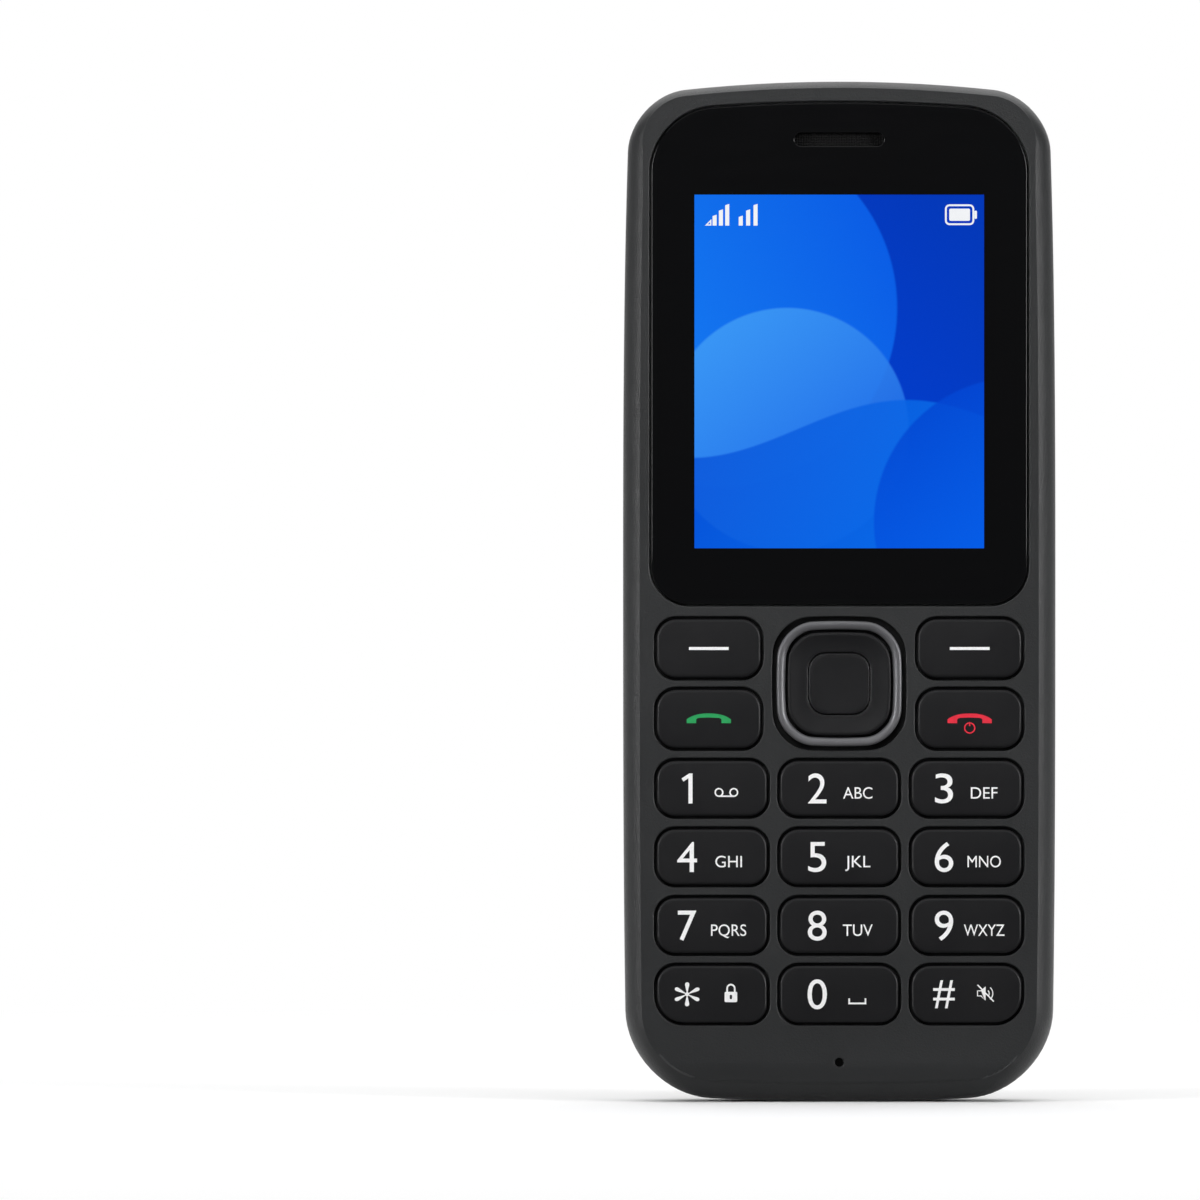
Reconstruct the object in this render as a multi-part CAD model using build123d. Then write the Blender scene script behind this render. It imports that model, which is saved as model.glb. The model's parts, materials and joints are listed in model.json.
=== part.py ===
from build123d import *
from math import atan2
import os

# A keypad phone, modelled lying on its back: x runs across it, y runs up it from the bottom end,
# and z is the level above the back. At the end every piece is stood upright, with the face to -Y.
# Sizes are in millimetres.

# Outline of the body
body_width = 48.0
body_height = 113.2
top_crown = 1.5
top_corner_radius = 8.6
bottom_corner_radius = 11.0
face_edge_radius = 4.0
face_edge_trim = 0.6
rear_bevel = 3.5
rear_second_bevel = 1.3
cover_inside_bevel = 2.4
corner_flats = 5
chin_radius = 5.0
chin_reach = 4.6

# The stack of pieces, from the back to the face
cover_wall = 1.1
battery_gap = 0.2
battery_thickness = 4.0
bay_floor_gap = 0.1
bay_floor = 0.6
component_height = 1.4
component_gap = 0.2
board_thickness = 0.8
display_pad_gap = 0.2
display_thickness = 2.6
gasket_thickness = 0.3
ledge_thickness = 0.6
adhesive_thickness = 0.15
window_thickness = 1.0
window_sink = 0.05
key_proud = 0.2
ring_proud = 0.35

# Walls and running clearances
housing_wall = 1.3
face_wall = 1.3
cavity_bevel = 1.7
piece_gap = 0.2
slip_gap = 0.1
part_line_share = 0.35
part_line_gap = 0.2
cover_side_inset = 0.85
side_rim_height = 0.4
lip_height = 1.0
lip_thickness = 0.6
bead_height = 0.8
overrun = 1.0

# Display window, display and earpiece
window_side = 3.2
window_top_margin = 2.5
window_row_gap = 1.675
window_top_radius = 6.6
window_bottom_radius = 4.2
window_gap = 0.25
active_side = 4.75
active_top_room = 10.1
active_bottom_room = 6.2
active_margin = 0.8
display_border = 2.2
display_chin = 3.6
glass_thickness = 0.9
rib_thickness = 0.8
slot_width = 9.9
slot_height = 1.5
slot_drop = 4.0
mesh_margin = 0.6
adhesive_margin = 0.5
flex_width = 16.0
flex_length = 2.6
flex_thickness = 0.15

# Keys
key_gap = 0.33
key_flange_overlap = 0.22
key_flange_thickness = 0.4
key_travel = 0.3
key_corner_share = 0.43
key_outer_share = 0.55
key_side_margin = 3.8
middle_key_extra = 0.9
column_gap = 1.45
key_height = 6.1
bottom_key_height = 6.3
row_gap = 1.5
bottom_row_y = 12.0
control_key_height = 6.45
control_key_gap = 1.35
control_row_gap = 1.425
control_side_gap = 1.25
plunger_width = 1.6
flange_corner_share = 0.6
mat_thickness = 0.4
mat_rim = 0.8
mat_margin = 0.7
mat_corner = 3.2
dome_radius = 2.0
dome_sides = 6
dome_taper = 70
dome_height = 0.25
dome_film = 0.1
dome_clearance = 0.05

# Navigation key
nav_opening = 14.9
nav_ring_width = 13.9
nav_ring_band = 0.95
nav_pad_width = 11.5
nav_corner_radius = 4.3
nav_bevel = 0.25
nav_bulge = 0.45
nav_base_overlap = 0.25
nav_base_thickness = 0.5
nav_tilt_room = 0.55
nav_pad_proud = 0.15
nav_nub_width = 1.1
nav_nub_offset = 6.2
cushion_width = 10.2
cushion_thickness = 0.45
collar_wall = 0.6
select_width = 6.75
select_corner_radius = 1.9
select_corner = 1.0
select_gap = 0.18
select_flange_overlap = 0.35
select_flange_thickness = 0.35

# Battery, cards and covers
battery_side_room = 6.0
battery_bottom = 14.0
battery_edge_radius = 0.8
bay_gap = 0.3
bay_wall_low = 2.4
well_length = 16.4
well_end_room = 25.3
card_window_gap = 0.25
sim_side_gap = 1.9
sim_gap = 2.0
sim_length = 12.6
memory_width = 14.2
memory_length = 13.6
holder_wall = 0.25
contact_width = 8.4
contact_depth = 2.2
contact_tip_width = 1.2
contact_tip_reach = 0.2
contact_tip_pitch = 2.5

# Chassis
chassis_wall = 1.0
chassis_bevel = 3.4
chassis_cover_gap = 0.3
bar_thickness = 1.2

# Screws
screw_radius = 0.75
screw_head_radius = 1.3
screw_head_height = 0.7
screw_hole_gap = 0.06
screw_bite = 2.6
boss_width = 2.9
upper_screw_side = 5.4
upper_screw_end = 7.2
lower_screw_side = 8.5
lower_screw_end = 5.4

# Sockets at the top end
usb_width = 7.5
usb_height = 2.6
usb_depth = 5.6
usb_wall = 0.3
usb_tongue_thickness = 0.6
usb_tongue_width = 4.6
usb_corner_radius = 0.7
usb_recess = 1.0
port_width = 8.8
port_height = 4.4
port_offset = 0.3
port_corner_radius = 1.6
jack_side = 12.3
jack_bore_radius = 1.78
jack_width = 6.0
jack_height = 5.0
jack_length = 12.0
jack_end_wall = 1.0
jack_nose_radius = 2.3
jack_port_radius = 2.5
jack_lift = 0.2

# Small inner pieces
mic_y = 4.45
mic_hole_radius = 0.5
mic_radius = 1.75
mic_height = 1.1
boot_radius = 1.1
speaker_width = 14.0
speaker_length = 5.6
speaker_rim = 0.9
motor_side = 11.2
motor_end_room = 21.6
motor_radius = 2.0
motor_length = 8.0
weight_radius = 2.0
weight_length = 3.4
motor_shaft_radius = 0.4
motor_shaft_gap = 0.4
torch_end_room = 13.8
torch_hole_radius = 2.1
torch_hole_chamfer = 0.15
torch_lens_radius = 1.83
torch_lens_thickness = 0.9
torch_lens_sink = 0.2
torch_cup_gap = 0.08
torch_tube_wall = 0.7
torch_led_width = 2.4
torch_led_height = 0.7
torch_led_inset = 0.5
shield_wall = 0.2
shield_side_room = 5.75
shield_length = 20.0
shield_gap = 2.5
shield_top_gap = 6.1
antenna_side_room = 9.0
antenna_length = 6.0
antenna_thickness = 0.2
antenna_slot = 1.2
notch_width = 6.05
notch_height = 1.0
notch_depth = 0.6

# Levels that follow from the stack
battery_low = cover_wall + battery_gap
battery_high = battery_low + battery_thickness
floor_low = battery_high + bay_floor_gap
floor_high = floor_low + bay_floor
board_low = floor_high + component_gap + component_height
board_high = board_low + board_thickness
display_low = board_high + display_pad_gap
display_high = display_low + display_thickness
ledge_low = display_high + gasket_thickness
ledge_high = ledge_low + ledge_thickness
window_low = ledge_high + adhesive_thickness
window_high = window_low + window_thickness
face_level = window_high + window_sink
wall_inside = face_level - face_wall
overall_depth = face_level + ring_proud
part_line = part_line_share * face_level
cover_front = part_line - part_line_gap
rim_level = cover_front - side_rim_height
lip_top = cover_front + lip_height
bead_low = cover_front - bead_height
flange_high = wall_inside - piece_gap
flange_low = flange_high - key_flange_thickness
mat_high = flange_low - key_travel - slip_gap
mat_low = mat_high - mat_thickness
film_high = board_high + dome_film
dome_top = film_high + dome_height
plunger_low = dome_top + dome_clearance + key_travel
nav_base_high = wall_inside - nav_tilt_room
nav_base_low = nav_base_high - nav_base_thickness
chassis_low = cover_wall + chassis_cover_gap
chassis_half_width = body_width / 2 - housing_wall - 2 * piece_gap - lip_thickness - slip_gap
sim_low = board_low - component_height
screw_seat = floor_low - screw_head_height

# Widths and places across the phone, which follow from the body's width
window_width = body_width - 2 * window_side
active_width = window_width - 2 * active_side
side_key_width = (body_width - 2 * key_side_margin - 2 * column_gap - middle_key_extra) / 3
middle_key_width = side_key_width + middle_key_extra
column_pitch = (side_key_width + middle_key_width) / 2 + column_gap
control_key_width = body_width / 2 - key_side_margin - control_side_gap - nav_opening / 2
control_pitch_x = body_width / 2 - key_side_margin - control_key_width / 2
battery_width = body_width - 2 * battery_side_room
sim_width = battery_width / 2 + bay_gap - sim_side_gap - sim_gap / 2
sim_spacing = sim_width + sim_gap
shield_width = body_width / 2 - shield_side_room - shield_gap / 2
shield_spacing = shield_width + shield_gap
antenna_width = body_width - 2 * antenna_side_room
jack_x = body_width / 2 - jack_side
motor_x = body_width / 2 - motor_side

# Lengths and places up the phone, which follow from the rows of keys and the body's height
row_pitch = key_height + row_gap
control_pitch_y = (control_key_height + control_key_gap) / 2
keys_top = bottom_row_y + 3 * row_pitch + key_height / 2
nav_y = keys_top + control_row_gap + control_key_height / 2 + control_pitch_y
window_bottom = nav_y + control_pitch_y + control_key_height / 2 + window_row_gap
window_top = body_height - window_top_margin
active_height = window_top - active_top_room - active_bottom_room - window_bottom
active_center_y = window_bottom + active_bottom_room + active_height / 2
slot_y = window_top - slot_drop
well_end = body_height - well_end_room
bay_end = well_end - well_length - bar_thickness
battery_length = bay_end - bay_gap - battery_bottom
sim_y = well_end - 2 * piece_gap - sim_length / 2
memory_y = bay_end - 2 * bay_gap - memory_length / 2
shield_y = memory_y - memory_length / 2 - shield_top_gap - shield_length / 2
motor_y = body_height - motor_end_room
torch_y = body_height - torch_end_room
upper_screw = (body_width / 2 - upper_screw_side, body_height - upper_screw_end)
lower_screw = (body_width / 2 - lower_screw_side, lower_screw_end)


def slab(face, low, high):
    """A face drawn at level zero, thickened from one level to another."""
    return Pos(0, 0, low) * extrude(face, high - low)


def block(width, height, low, high, x=0, y=0):
    return slab(Pos(x, y) * Rectangle(width, height), low, high)


def rod(radius, low, high, x=0, y=0):
    return slab(Pos(x, y) * Circle(radius), low, high)


def long_rod(radius, start, end, x, level):
    """A cylinder that runs up the phone."""
    return Pos(x, (start + end) / 2, level) * Rot(90, 0, 0) * Cylinder(radius, end - start)


def crowned_outline(width, bottom, top, bottom_radius, top_radius):
    """A closed outline with straight sides, a straight lower end and an upper end that bows out as
    much as the body's does over the same width."""
    right = width / 2
    shoulder = top - top_crown * (width / body_width) ** 2
    edges = [
        Polyline((-right, shoulder), (-right, bottom), (right, bottom), (right, shoulder)),
        ThreePointArc((right, shoulder), (0, top), (-right, shoulder)),
    ]
    face = make_face(edges)
    face = fillet(face.vertices().group_by(Axis.Y)[0], bottom_radius)
    return fillet(face.vertices().group_by(Axis.Y)[-1], top_radius)


def body_outline(inset=0, side_inset=0, end_growth=0):
    width = body_width - 2 * inset - 2 * side_inset
    return crowned_outline(width, inset - end_growth, body_height - inset + end_growth,
                           bottom_corner_radius - inset, top_corner_radius - inset)


def flats(face):
    """A convex outline redrawn with short flats in place of its arcs."""
    points = [vertex.center() for vertex in face.vertices()]
    for edge in face.edges().filter_by(GeomType.CIRCLE):
        points += [edge @ (step / corner_flats) for step in range(1, corner_flats)]
    middle = face.center()
    points.sort(key=lambda point: atan2(point.Y - middle.Y, point.X - middle.X))
    return make_face(Polyline(*points, close=True))


def inner_outline(inset):
    """The body's outline at an inset, for the pieces that nest inside it."""
    return flats(body_outline(inset))


def window_outline(inset=0):
    return crowned_outline(window_width - 2 * inset, window_bottom + inset, window_top - inset,
                           window_bottom_radius - inset, window_top_radius - inset)


def squircle(width, corner_radius, bulge):
    """A rounded square whose sides bow outwards."""
    far = width / 2
    near = far - bulge
    edges = [
        ThreePointArc((-near, -near), (0, -far), (near, -near)),
        ThreePointArc((near, -near), (far, 0), (near, near)),
        ThreePointArc((near, near), (0, far), (-near, near)),
        ThreePointArc((-near, near), (-far, 0), (-near, -near)),
    ]
    face = make_face(edges)
    return flats(fillet(face.vertices(), corner_radius))


def plain_square(width, corner):
    """A square with its corners cut straight."""
    face = Rectangle(width, width)
    return chamfer(face.vertices(), corner)


def end_edges(solid, high):
    """The outer edges of a solid's highest or lowest face."""
    faces = solid.faces().sort_by(Axis.Z)
    face = faces[-1] if high else faces[0]
    return face.outer_wire().edges()


def rim(face, inner, low, high):
    return slab(face, low, high) - slab(inner, low - overrun, high + overrun)


# Places of the keys: each entry is a column's middle and its width, or a row's middle and its height
columns = [(-column_pitch, side_key_width), (0, middle_key_width), (column_pitch, side_key_width)]
rows = [(bottom_row_y + step * row_pitch, key_height) for step in (3, 2, 1)]
rows.append((bottom_row_y, bottom_key_height))
number_names = [
    ["key_1", "key_2", "key_3"],
    ["key_4", "key_5", "key_6"],
    ["key_7", "key_8", "key_9"],
    ["key_star", "key_0", "key_hash"],
]
control_names = {
    "soft_key_left": (-1, 1),
    "soft_key_right": (1, 1),
    "call_key": (-1, -1),
    "end_key": (1, -1),
}


def key_places():
    """Every push key's name, middle, width and height, and the side of its rounder lower corner."""
    places = []
    for row_names, (y, height) in zip(number_names, rows):
        for name, (x, width) in zip(row_names, columns):
            outer = {"key_star": -1, "key_hash": 1}.get(name, 0)
            places.append((name, x, y, width, height, outer))
    for name, (side, step) in control_names.items():
        x = side * control_pitch_x
        y = nav_y + step * control_pitch_y
        places.append((name, x, y, control_key_width, control_key_height, 0))
    return places


def key_face(x, y, width, height, outer, growth=0):
    """A key's outline, grown by a margin for its opening. One lower corner may be rounder."""
    face = Rectangle(width + 2 * growth, height + 2 * growth)
    spot = (outer * width, -height)
    radius = key_corner_share * height + growth
    if outer:
        face = fillet(face.vertices().sort_by_distance(spot)[1:], radius)
        face = fillet(face.vertices().sort_by_distance(spot)[0], key_outer_share * height + growth)
        return Pos(x, y) * flats(face)
    return Pos(x, y) * flats(fillet(face.vertices(), radius))


def post(width, low, high, x=0, y=0):
    """A square plunger or nub."""
    return block(width, width, low, high, x, y)


def push_key(x, y, width, height, outer):
    """A cap that stands in its opening, a flange that keeps it in, and a plunger over its dome."""
    cap = slab(key_face(x, y, width, height, outer), flange_low, face_level + key_proud)
    reach = 2 * key_gap + 2 * key_flange_overlap
    face = Rectangle(width + reach, height + reach)
    face = Pos(x, y) * chamfer(face.vertices(), flange_corner_share * key_corner_share * height)
    return cap + slab(face, flange_low, flange_high) + post(plunger_width, plunger_low, flange_low, x, y)


def port_cut():
    """The recess round the charging socket, through the wall of the top end."""
    level = board_low - usb_height / 2 - port_offset
    face = RectangleRounded(port_width, port_height, port_corner_radius)
    depth = housing_wall + lip_thickness + 2 * piece_gap + slip_gap + overrun
    top = body_height + overrun
    return Pos(0, top, level) * Rot(90, 0, 0) * extrude(face, depth + overrun)


def jack_cut():
    start = body_height - housing_wall - lip_thickness - 2 * piece_gap - slip_gap - overrun
    return long_rod(jack_port_radius, start, body_height + overrun, jack_x, jack_level)


jack_level = board_low - jack_height / 2 + board_thickness - jack_lift
jack_top = body_height - housing_wall - 2 * piece_gap - lip_thickness - slip_gap
screw_places = [
    (side * x, y) for x, y in (upper_screw, lower_screw) for side in (-1, 1)
]


def front_housing():
    """The moulded front: face, keypad openings, window pocket, side rims, ribs and screw bosses."""
    solid = slab(body_outline(), rim_level, face_level + face_edge_trim)
    solid = fillet(end_edges(solid, True), face_edge_radius)
    span = 2 * body_width
    solid -= block(span, 2 * body_height, face_level, face_level + 2 * face_edge_trim, 0, body_height / 2)
    chin = block(span, chin_reach + overrun, face_level - chin_radius, face_level + overrun,
                 0, (chin_reach - overrun) / 2)
    chin -= Pos(0, chin_reach, face_level - chin_radius) * Rot(0, 90, 0) * Cylinder(chin_radius, span)
    solid -= chin
    relief = body_outline(side_inset=cover_side_inset - piece_gap, end_growth=overrun)
    solid -= slab(relief, rim_level - overrun, part_line)

    key_cavity = slab(inner_outline(housing_wall), rim_level - overrun, wall_inside)
    key_cavity = chamfer(end_edges(key_cavity, True), cavity_bevel)
    zone_top = window_bottom - window_gap
    thicker = block(body_width, body_height, ledge_low, face_level, 0, zone_top + body_height / 2)
    solid -= key_cavity - thicker
    solid -= slab(window_outline(-window_gap), ledge_high, face_level + overrun)

    view_width = active_width + 2 * active_margin
    view_height = active_height + 2 * active_margin
    solid -= block(view_width, view_height, ledge_low - overrun, ledge_high + overrun, 0, active_center_y)
    solid -= slab(Pos(0, slot_y) * SlotOverall(slot_width, slot_height), ledge_low - overrun,
                  ledge_high + overrun)
    for name, x, y, width, height, outer in key_places():
        opening = key_face(x, y, width, height, outer, key_gap)
        solid -= slab(opening, wall_inside - overrun, face_level + overrun)
    nav_face = Pos(0, nav_y) * squircle(nav_opening, nav_corner_radius, nav_bulge)
    solid -= slab(nav_face, wall_inside - overrun, face_level + overrun)
    solid -= rod(mic_hole_radius, wall_inside - overrun, face_level + overrun, 0, mic_y)

    x, y, width, height = display_place()
    seat = Pos(x, y) * Rectangle(width + 2 * slip_gap, height + 2 * slip_gap)
    wall = Pos(x, y) * Rectangle(width + 2 * slip_gap + 2 * rib_thickness,
                                 height + 2 * slip_gap + 2 * rib_thickness)
    solid += rim(wall, seat, display_low, ledge_low)
    for x, y in screw_places:
        solid += post(boss_width, board_high, wall_inside, x, y)
        solid -= rod(screw_radius + screw_hole_gap, board_high - overrun, board_high + screw_bite, x, y)
    return solid - port_cut() - jack_cut()


def display_place():
    """Middle, width and height of the display module, which reaches lower than its active area."""
    width = active_width + 2 * display_border
    height = active_height + display_border + display_chin
    return 0, active_center_y + (display_border - display_chin) / 2, width, height


def back_cover():
    """The back shell, with a bead and a lip that seats inside the front housing."""
    solid = slab(body_outline(side_inset=cover_side_inset), 0, cover_front)
    solid = chamfer(end_edges(solid, False), rear_bevel)
    solid = chamfer(end_edges(solid, False), rear_second_bevel)
    lip = inner_outline(housing_wall + piece_gap)
    lip_inside = inner_outline(housing_wall + piece_gap + lip_thickness)
    solid += slab(lip, bead_low, lip_top)
    inside = slab(flats(body_outline(cover_wall, cover_side_inset)), cover_wall, face_level)
    inside = chamfer(end_edges(inside, False), cover_inside_bevel)
    solid -= inside & block(body_width, 2 * body_height, 0, bead_low)
    solid -= slab(lip_inside, bead_low - slip_gap, lip_top + overrun)
    notch = Pos(0, 0, cover_front - notch_height) * Box(
        notch_width, 2 * notch_depth, 2 * notch_height, align=(Align.CENTER, Align.CENTER, Align.MIN))
    solid -= notch
    solid -= rod(torch_hole_radius, -overrun, cover_wall + overrun, 0, torch_y)
    solid -= Pos(0, torch_y, torch_hole_chamfer / 2) * Cone(
        torch_hole_radius + torch_hole_chamfer, torch_hole_radius, torch_hole_chamfer)
    return solid - port_cut() - jack_cut() - jack_room(piece_gap)


def display_window():
    solid = slab(window_outline(), window_low, window_high)
    return solid - slab(Pos(0, slot_y) * SlotOverall(slot_width, slot_height), window_low - overrun,
                        window_high + overrun)


def mesh_face(growth):
    margin = 2 * mesh_margin + 2 * growth
    return Pos(0, slot_y) * Rectangle(slot_width + margin, slot_height + margin)


def window_adhesive():
    outer = flats(window_outline(adhesive_margin))
    view_width = active_width + 2 * active_margin
    view_height = active_height + 2 * active_margin
    solid = slab(outer, ledge_high, window_low)
    solid -= block(view_width, view_height, ledge_high - overrun, window_low + overrun, 0, active_center_y)
    return solid - slab(mesh_face(slip_gap), ledge_high - overrun, window_low + overrun)


def earpiece_mesh():
    return slab(mesh_face(0), ledge_high, window_low)


def display_gasket():
    x, y, width, height = display_place()
    inner = Pos(x, active_center_y) * Rectangle(active_width + 2 * active_margin,
                                                active_height + 2 * active_margin)
    return rim(Pos(x, y) * Rectangle(width, height), inner, display_high, ledge_low)


def display_panel():
    """The glass sandwich of the display, seated in its backlight frame."""
    x, y, width, height = display_place()
    return block(width - 2 * rib_thickness, height - 2 * rib_thickness,
                 display_high - glass_thickness, display_high, x, y)


def backlight_frame():
    """A tray that holds the glass, with walls round it."""
    x, y, width, height = display_place()
    solid = block(width, height, display_low, display_high, x, y)
    return solid - block(width - 2 * rib_thickness, height - 2 * rib_thickness,
                         display_high - glass_thickness, display_high + overrun, x, y)


def display_flex():
    x, y, width, height = display_place()
    low = y - height / 2 - rib_thickness - slip_gap - flex_length
    return block(flex_width, flex_length, board_high, board_high + flex_thickness, 0, low + flex_length / 2)


def select_face(growth=0):
    width = select_width + 2 * growth
    return flats(RectangleRounded(width, width, select_corner_radius + growth))


def nav_rocker():
    """The four-way key: a bowed pad on a base plate, with a square hole and four nubs below."""
    pad = slab(squircle(nav_pad_width, nav_corner_radius - nav_ring_band, nav_bulge), nav_base_low,
               face_level + nav_pad_proud)
    pad = chamfer(end_edges(pad, True), nav_bevel)
    base_width = nav_opening + 2 * nav_base_overlap
    solid = pad + slab(squircle(base_width, nav_corner_radius, nav_bulge), nav_base_low, nav_base_high)
    solid -= slab(select_face(select_gap), nav_base_low - overrun, face_level + overrun)
    for x, y in ((1, 0), (0, 1), (-1, 0), (0, -1)):
        solid += post(nav_nub_width, plunger_low, nav_base_low, x * nav_nub_offset, y * nav_nub_offset)
    return Pos(0, nav_y) * solid


def nav_ring():
    """The metal trim that stands on the rocker's base plate, round its pad."""
    ring = slab(squircle(nav_ring_width, nav_corner_radius, nav_bulge), nav_base_high, overall_depth)
    ring = chamfer(end_edges(ring, True), nav_bevel)
    inner = squircle(nav_ring_width - 2 * nav_ring_band, nav_corner_radius - nav_ring_band, nav_bulge)
    return Pos(0, nav_y) * (ring - slab(inner, nav_base_high - overrun, overall_depth + overrun))


def select_key():
    low = nav_base_low - nav_tilt_room + select_gap
    cap = slab(select_face(), low - select_flange_thickness, face_level + key_proud)
    reach = select_width + 2 * select_gap + 2 * select_flange_overlap
    flange = slab(plain_square(reach, select_corner), low - select_flange_thickness, low)
    stem = post(plunger_width, plunger_low, low - select_flange_thickness)
    return Pos(0, nav_y) * (cap + flange + stem)


def nav_cushion():
    """The springy plate between the rocker and the board, with a collar round the centre key."""
    high = nav_base_low - piece_gap
    low = film_high + key_travel
    inside = select_width + 2 * select_gap + 2 * select_flange_overlap + 2 * piece_gap
    outer = inside + 2 * collar_wall
    solid = slab(plain_square(cushion_width, select_corner), high - cushion_thickness, high)
    solid += slab(plain_square(outer, select_corner), low, high)
    solid -= slab(plain_square(inside, select_corner), low - overrun, high + overrun)
    return Pos(0, nav_y) * solid


def mat_face(growth=0):
    """The keypad's area: all the push keys and a margin round them."""
    left = column_pitch + side_key_width / 2 + mat_margin + growth
    low = bottom_row_y - bottom_key_height / 2 - mat_margin - growth
    high = nav_y + control_pitch_y + control_key_height / 2 + growth
    face = Pos(0, (low + high) / 2) * Rectangle(2 * left, high - low)
    return chamfer(face.vertices(), mat_corner)


def keypad_mat():
    """A silicone sheet under the keys, with a hole round each plunger and a rim down to the domes."""
    solid = slab(mat_face(), mat_low, mat_high) + rim(mat_face(), mat_face(-mat_rim), film_high, mat_low)
    for name, x, y, width, height, outer in key_places():
        solid -= post(plunger_width + 2 * piece_gap, mat_low - overrun, mat_high + overrun, x, y)
    room = nav_opening + 2 * nav_base_overlap + 2 * piece_gap
    return solid - slab(Pos(0, nav_y) * squircle(room, nav_corner_radius, nav_bulge), film_high - overrun,
                        mat_high + overrun)


def dome_sheet():
    """The film with a snap dome under every plunger and nub."""
    solid = slab(mat_face(), board_high, film_high)
    spots = [(x, y, dome_radius) for name, x, y, width, height, outer in key_places()]
    spots.append((0, nav_y, dome_radius))
    for x, y in ((1, 0), (0, 1), (-1, 0), (0, -1)):
        spots.append((x * nav_nub_offset, nav_y + y * nav_nub_offset, dome_radius / 2))
    for x, y, radius in spots:
        dome = extrude(RegularPolygon(radius, dome_sides), dome_height, taper=dome_taper)
        solid += Pos(x, y, film_high) * dome
    return solid


def jack_room(gap):
    """The space that the headphone socket takes, grown by a gap."""
    low = jack_level - jack_height / 2 - gap
    high = jack_level + jack_height / 2 + gap
    length = jack_length + 2 * gap
    return block(jack_width + 2 * gap, length, low, high, jack_x, jack_top - jack_length / 2)


def circuit_board():
    """The main board, cut away round the headphone socket and drilled for the screws."""
    solid = slab(inner_outline(housing_wall + 2 * piece_gap + slip_gap), board_low, board_high)
    for x, y in screw_places:
        solid -= rod(screw_radius + screw_hole_gap, board_low - overrun, board_high + overrun, x, y)
    return solid - jack_room(piece_gap) - jack_cut()


def headphone_jack():
    """The socket for a round plug: a block with a nose, bored from its mouth to its end wall."""
    mouth = body_height - housing_wall + slip_gap
    solid = jack_room(0) + long_rod(jack_nose_radius, jack_top - jack_end_wall, mouth, jack_x, jack_level)
    start = jack_top - jack_length + jack_end_wall
    return solid - long_rod(jack_bore_radius, start, mouth + overrun, jack_x, jack_level)


def usb_connector():
    """The folded metal shell of the charging socket."""
    mouth = body_height - usb_recess
    level = board_low - usb_height / 2
    outer = RectangleRounded(usb_width, usb_height, usb_corner_radius)
    inner = RectangleRounded(usb_width - 2 * usb_wall, usb_height - 2 * usb_wall,
                             usb_corner_radius - usb_wall)
    shell = extrude(outer, usb_depth) - Pos(0, 0, -overrun) * extrude(inner, usb_depth - usb_wall + overrun)
    return Pos(0, mouth, level) * Rot(90, 0, 0) * shell


def usb_tongue():
    """The plastic tongue that carries the contacts, standing off the socket's rear wall."""
    mouth = body_height - usb_recess
    back = mouth - usb_depth + usb_wall
    length = mouth - back - usb_height / 2
    low = board_low - usb_wall - piece_gap - usb_tongue_thickness
    return block(usb_tongue_width, length, low, low + usb_tongue_thickness, 0, back + length / 2)


def microphone():
    return rod(mic_radius, board_high, board_high + mic_height, 0, mic_y)


def microphone_boot():
    low = board_high + mic_height
    tube = post(2 * boot_radius, low, wall_inside, 0, mic_y)
    return tube - rod(mic_hole_radius, low - overrun, wall_inside + overrun, 0, mic_y)


def speaker_place():
    x, y, width, height = display_place()
    low = y + height / 2 + 2 * slip_gap + rib_thickness + slip_gap
    return low + speaker_length / 2


def speaker():
    solid = block(speaker_width, speaker_length, display_low, display_high, 0, speaker_place())
    return solid - block(speaker_width - 2 * speaker_rim, speaker_length - 2 * speaker_rim,
                         display_high - gasket_thickness, display_high + overrun, 0, speaker_place())


def speaker_gasket():
    outer = Pos(0, speaker_place()) * Rectangle(speaker_width, speaker_length)
    inner = Pos(0, speaker_place()) * Rectangle(speaker_width - 2 * speaker_rim,
                                                speaker_length - 2 * speaker_rim)
    return rim(outer, inner, display_high, ledge_low)


motor_level = board_low - motor_radius - slip_gap


def vibration_motor():
    """A small can with its shaft standing out of one end."""
    end = motor_y + motor_length
    can = long_rod(motor_radius, motor_y, end, -motor_x, motor_level)
    return can + long_rod(motor_shaft_radius, end, end + motor_shaft_gap + weight_length, -motor_x,
                          motor_level)


def vibration_weight():
    """The off-centre half disc that the motor spins."""
    start = motor_y + motor_length + motor_shaft_gap
    disc = long_rod(weight_radius - slip_gap, start, start + weight_length, -motor_x, motor_level)
    half = block(2 * weight_radius, weight_length + overrun, motor_level + motor_shaft_radius + slip_gap,
                 motor_level + weight_radius, -motor_x, start + weight_length / 2)
    bore = long_rod(motor_shaft_radius + slip_gap / 2, start - overrun, start + weight_length + overrun,
                    -motor_x, motor_level)
    return disc - half - bore


torch_lens_low = torch_lens_sink
torch_lens_high = torch_lens_low + torch_lens_thickness
torch_led_low = torch_lens_high + torch_led_inset


def torch_lens():
    return rod(torch_lens_radius, torch_lens_low, torch_lens_high, 0, torch_y)


def torch_led():
    return block(torch_led_width, torch_led_width, torch_led_low, torch_led_low + torch_led_height, 0,
                 torch_y)


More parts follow.
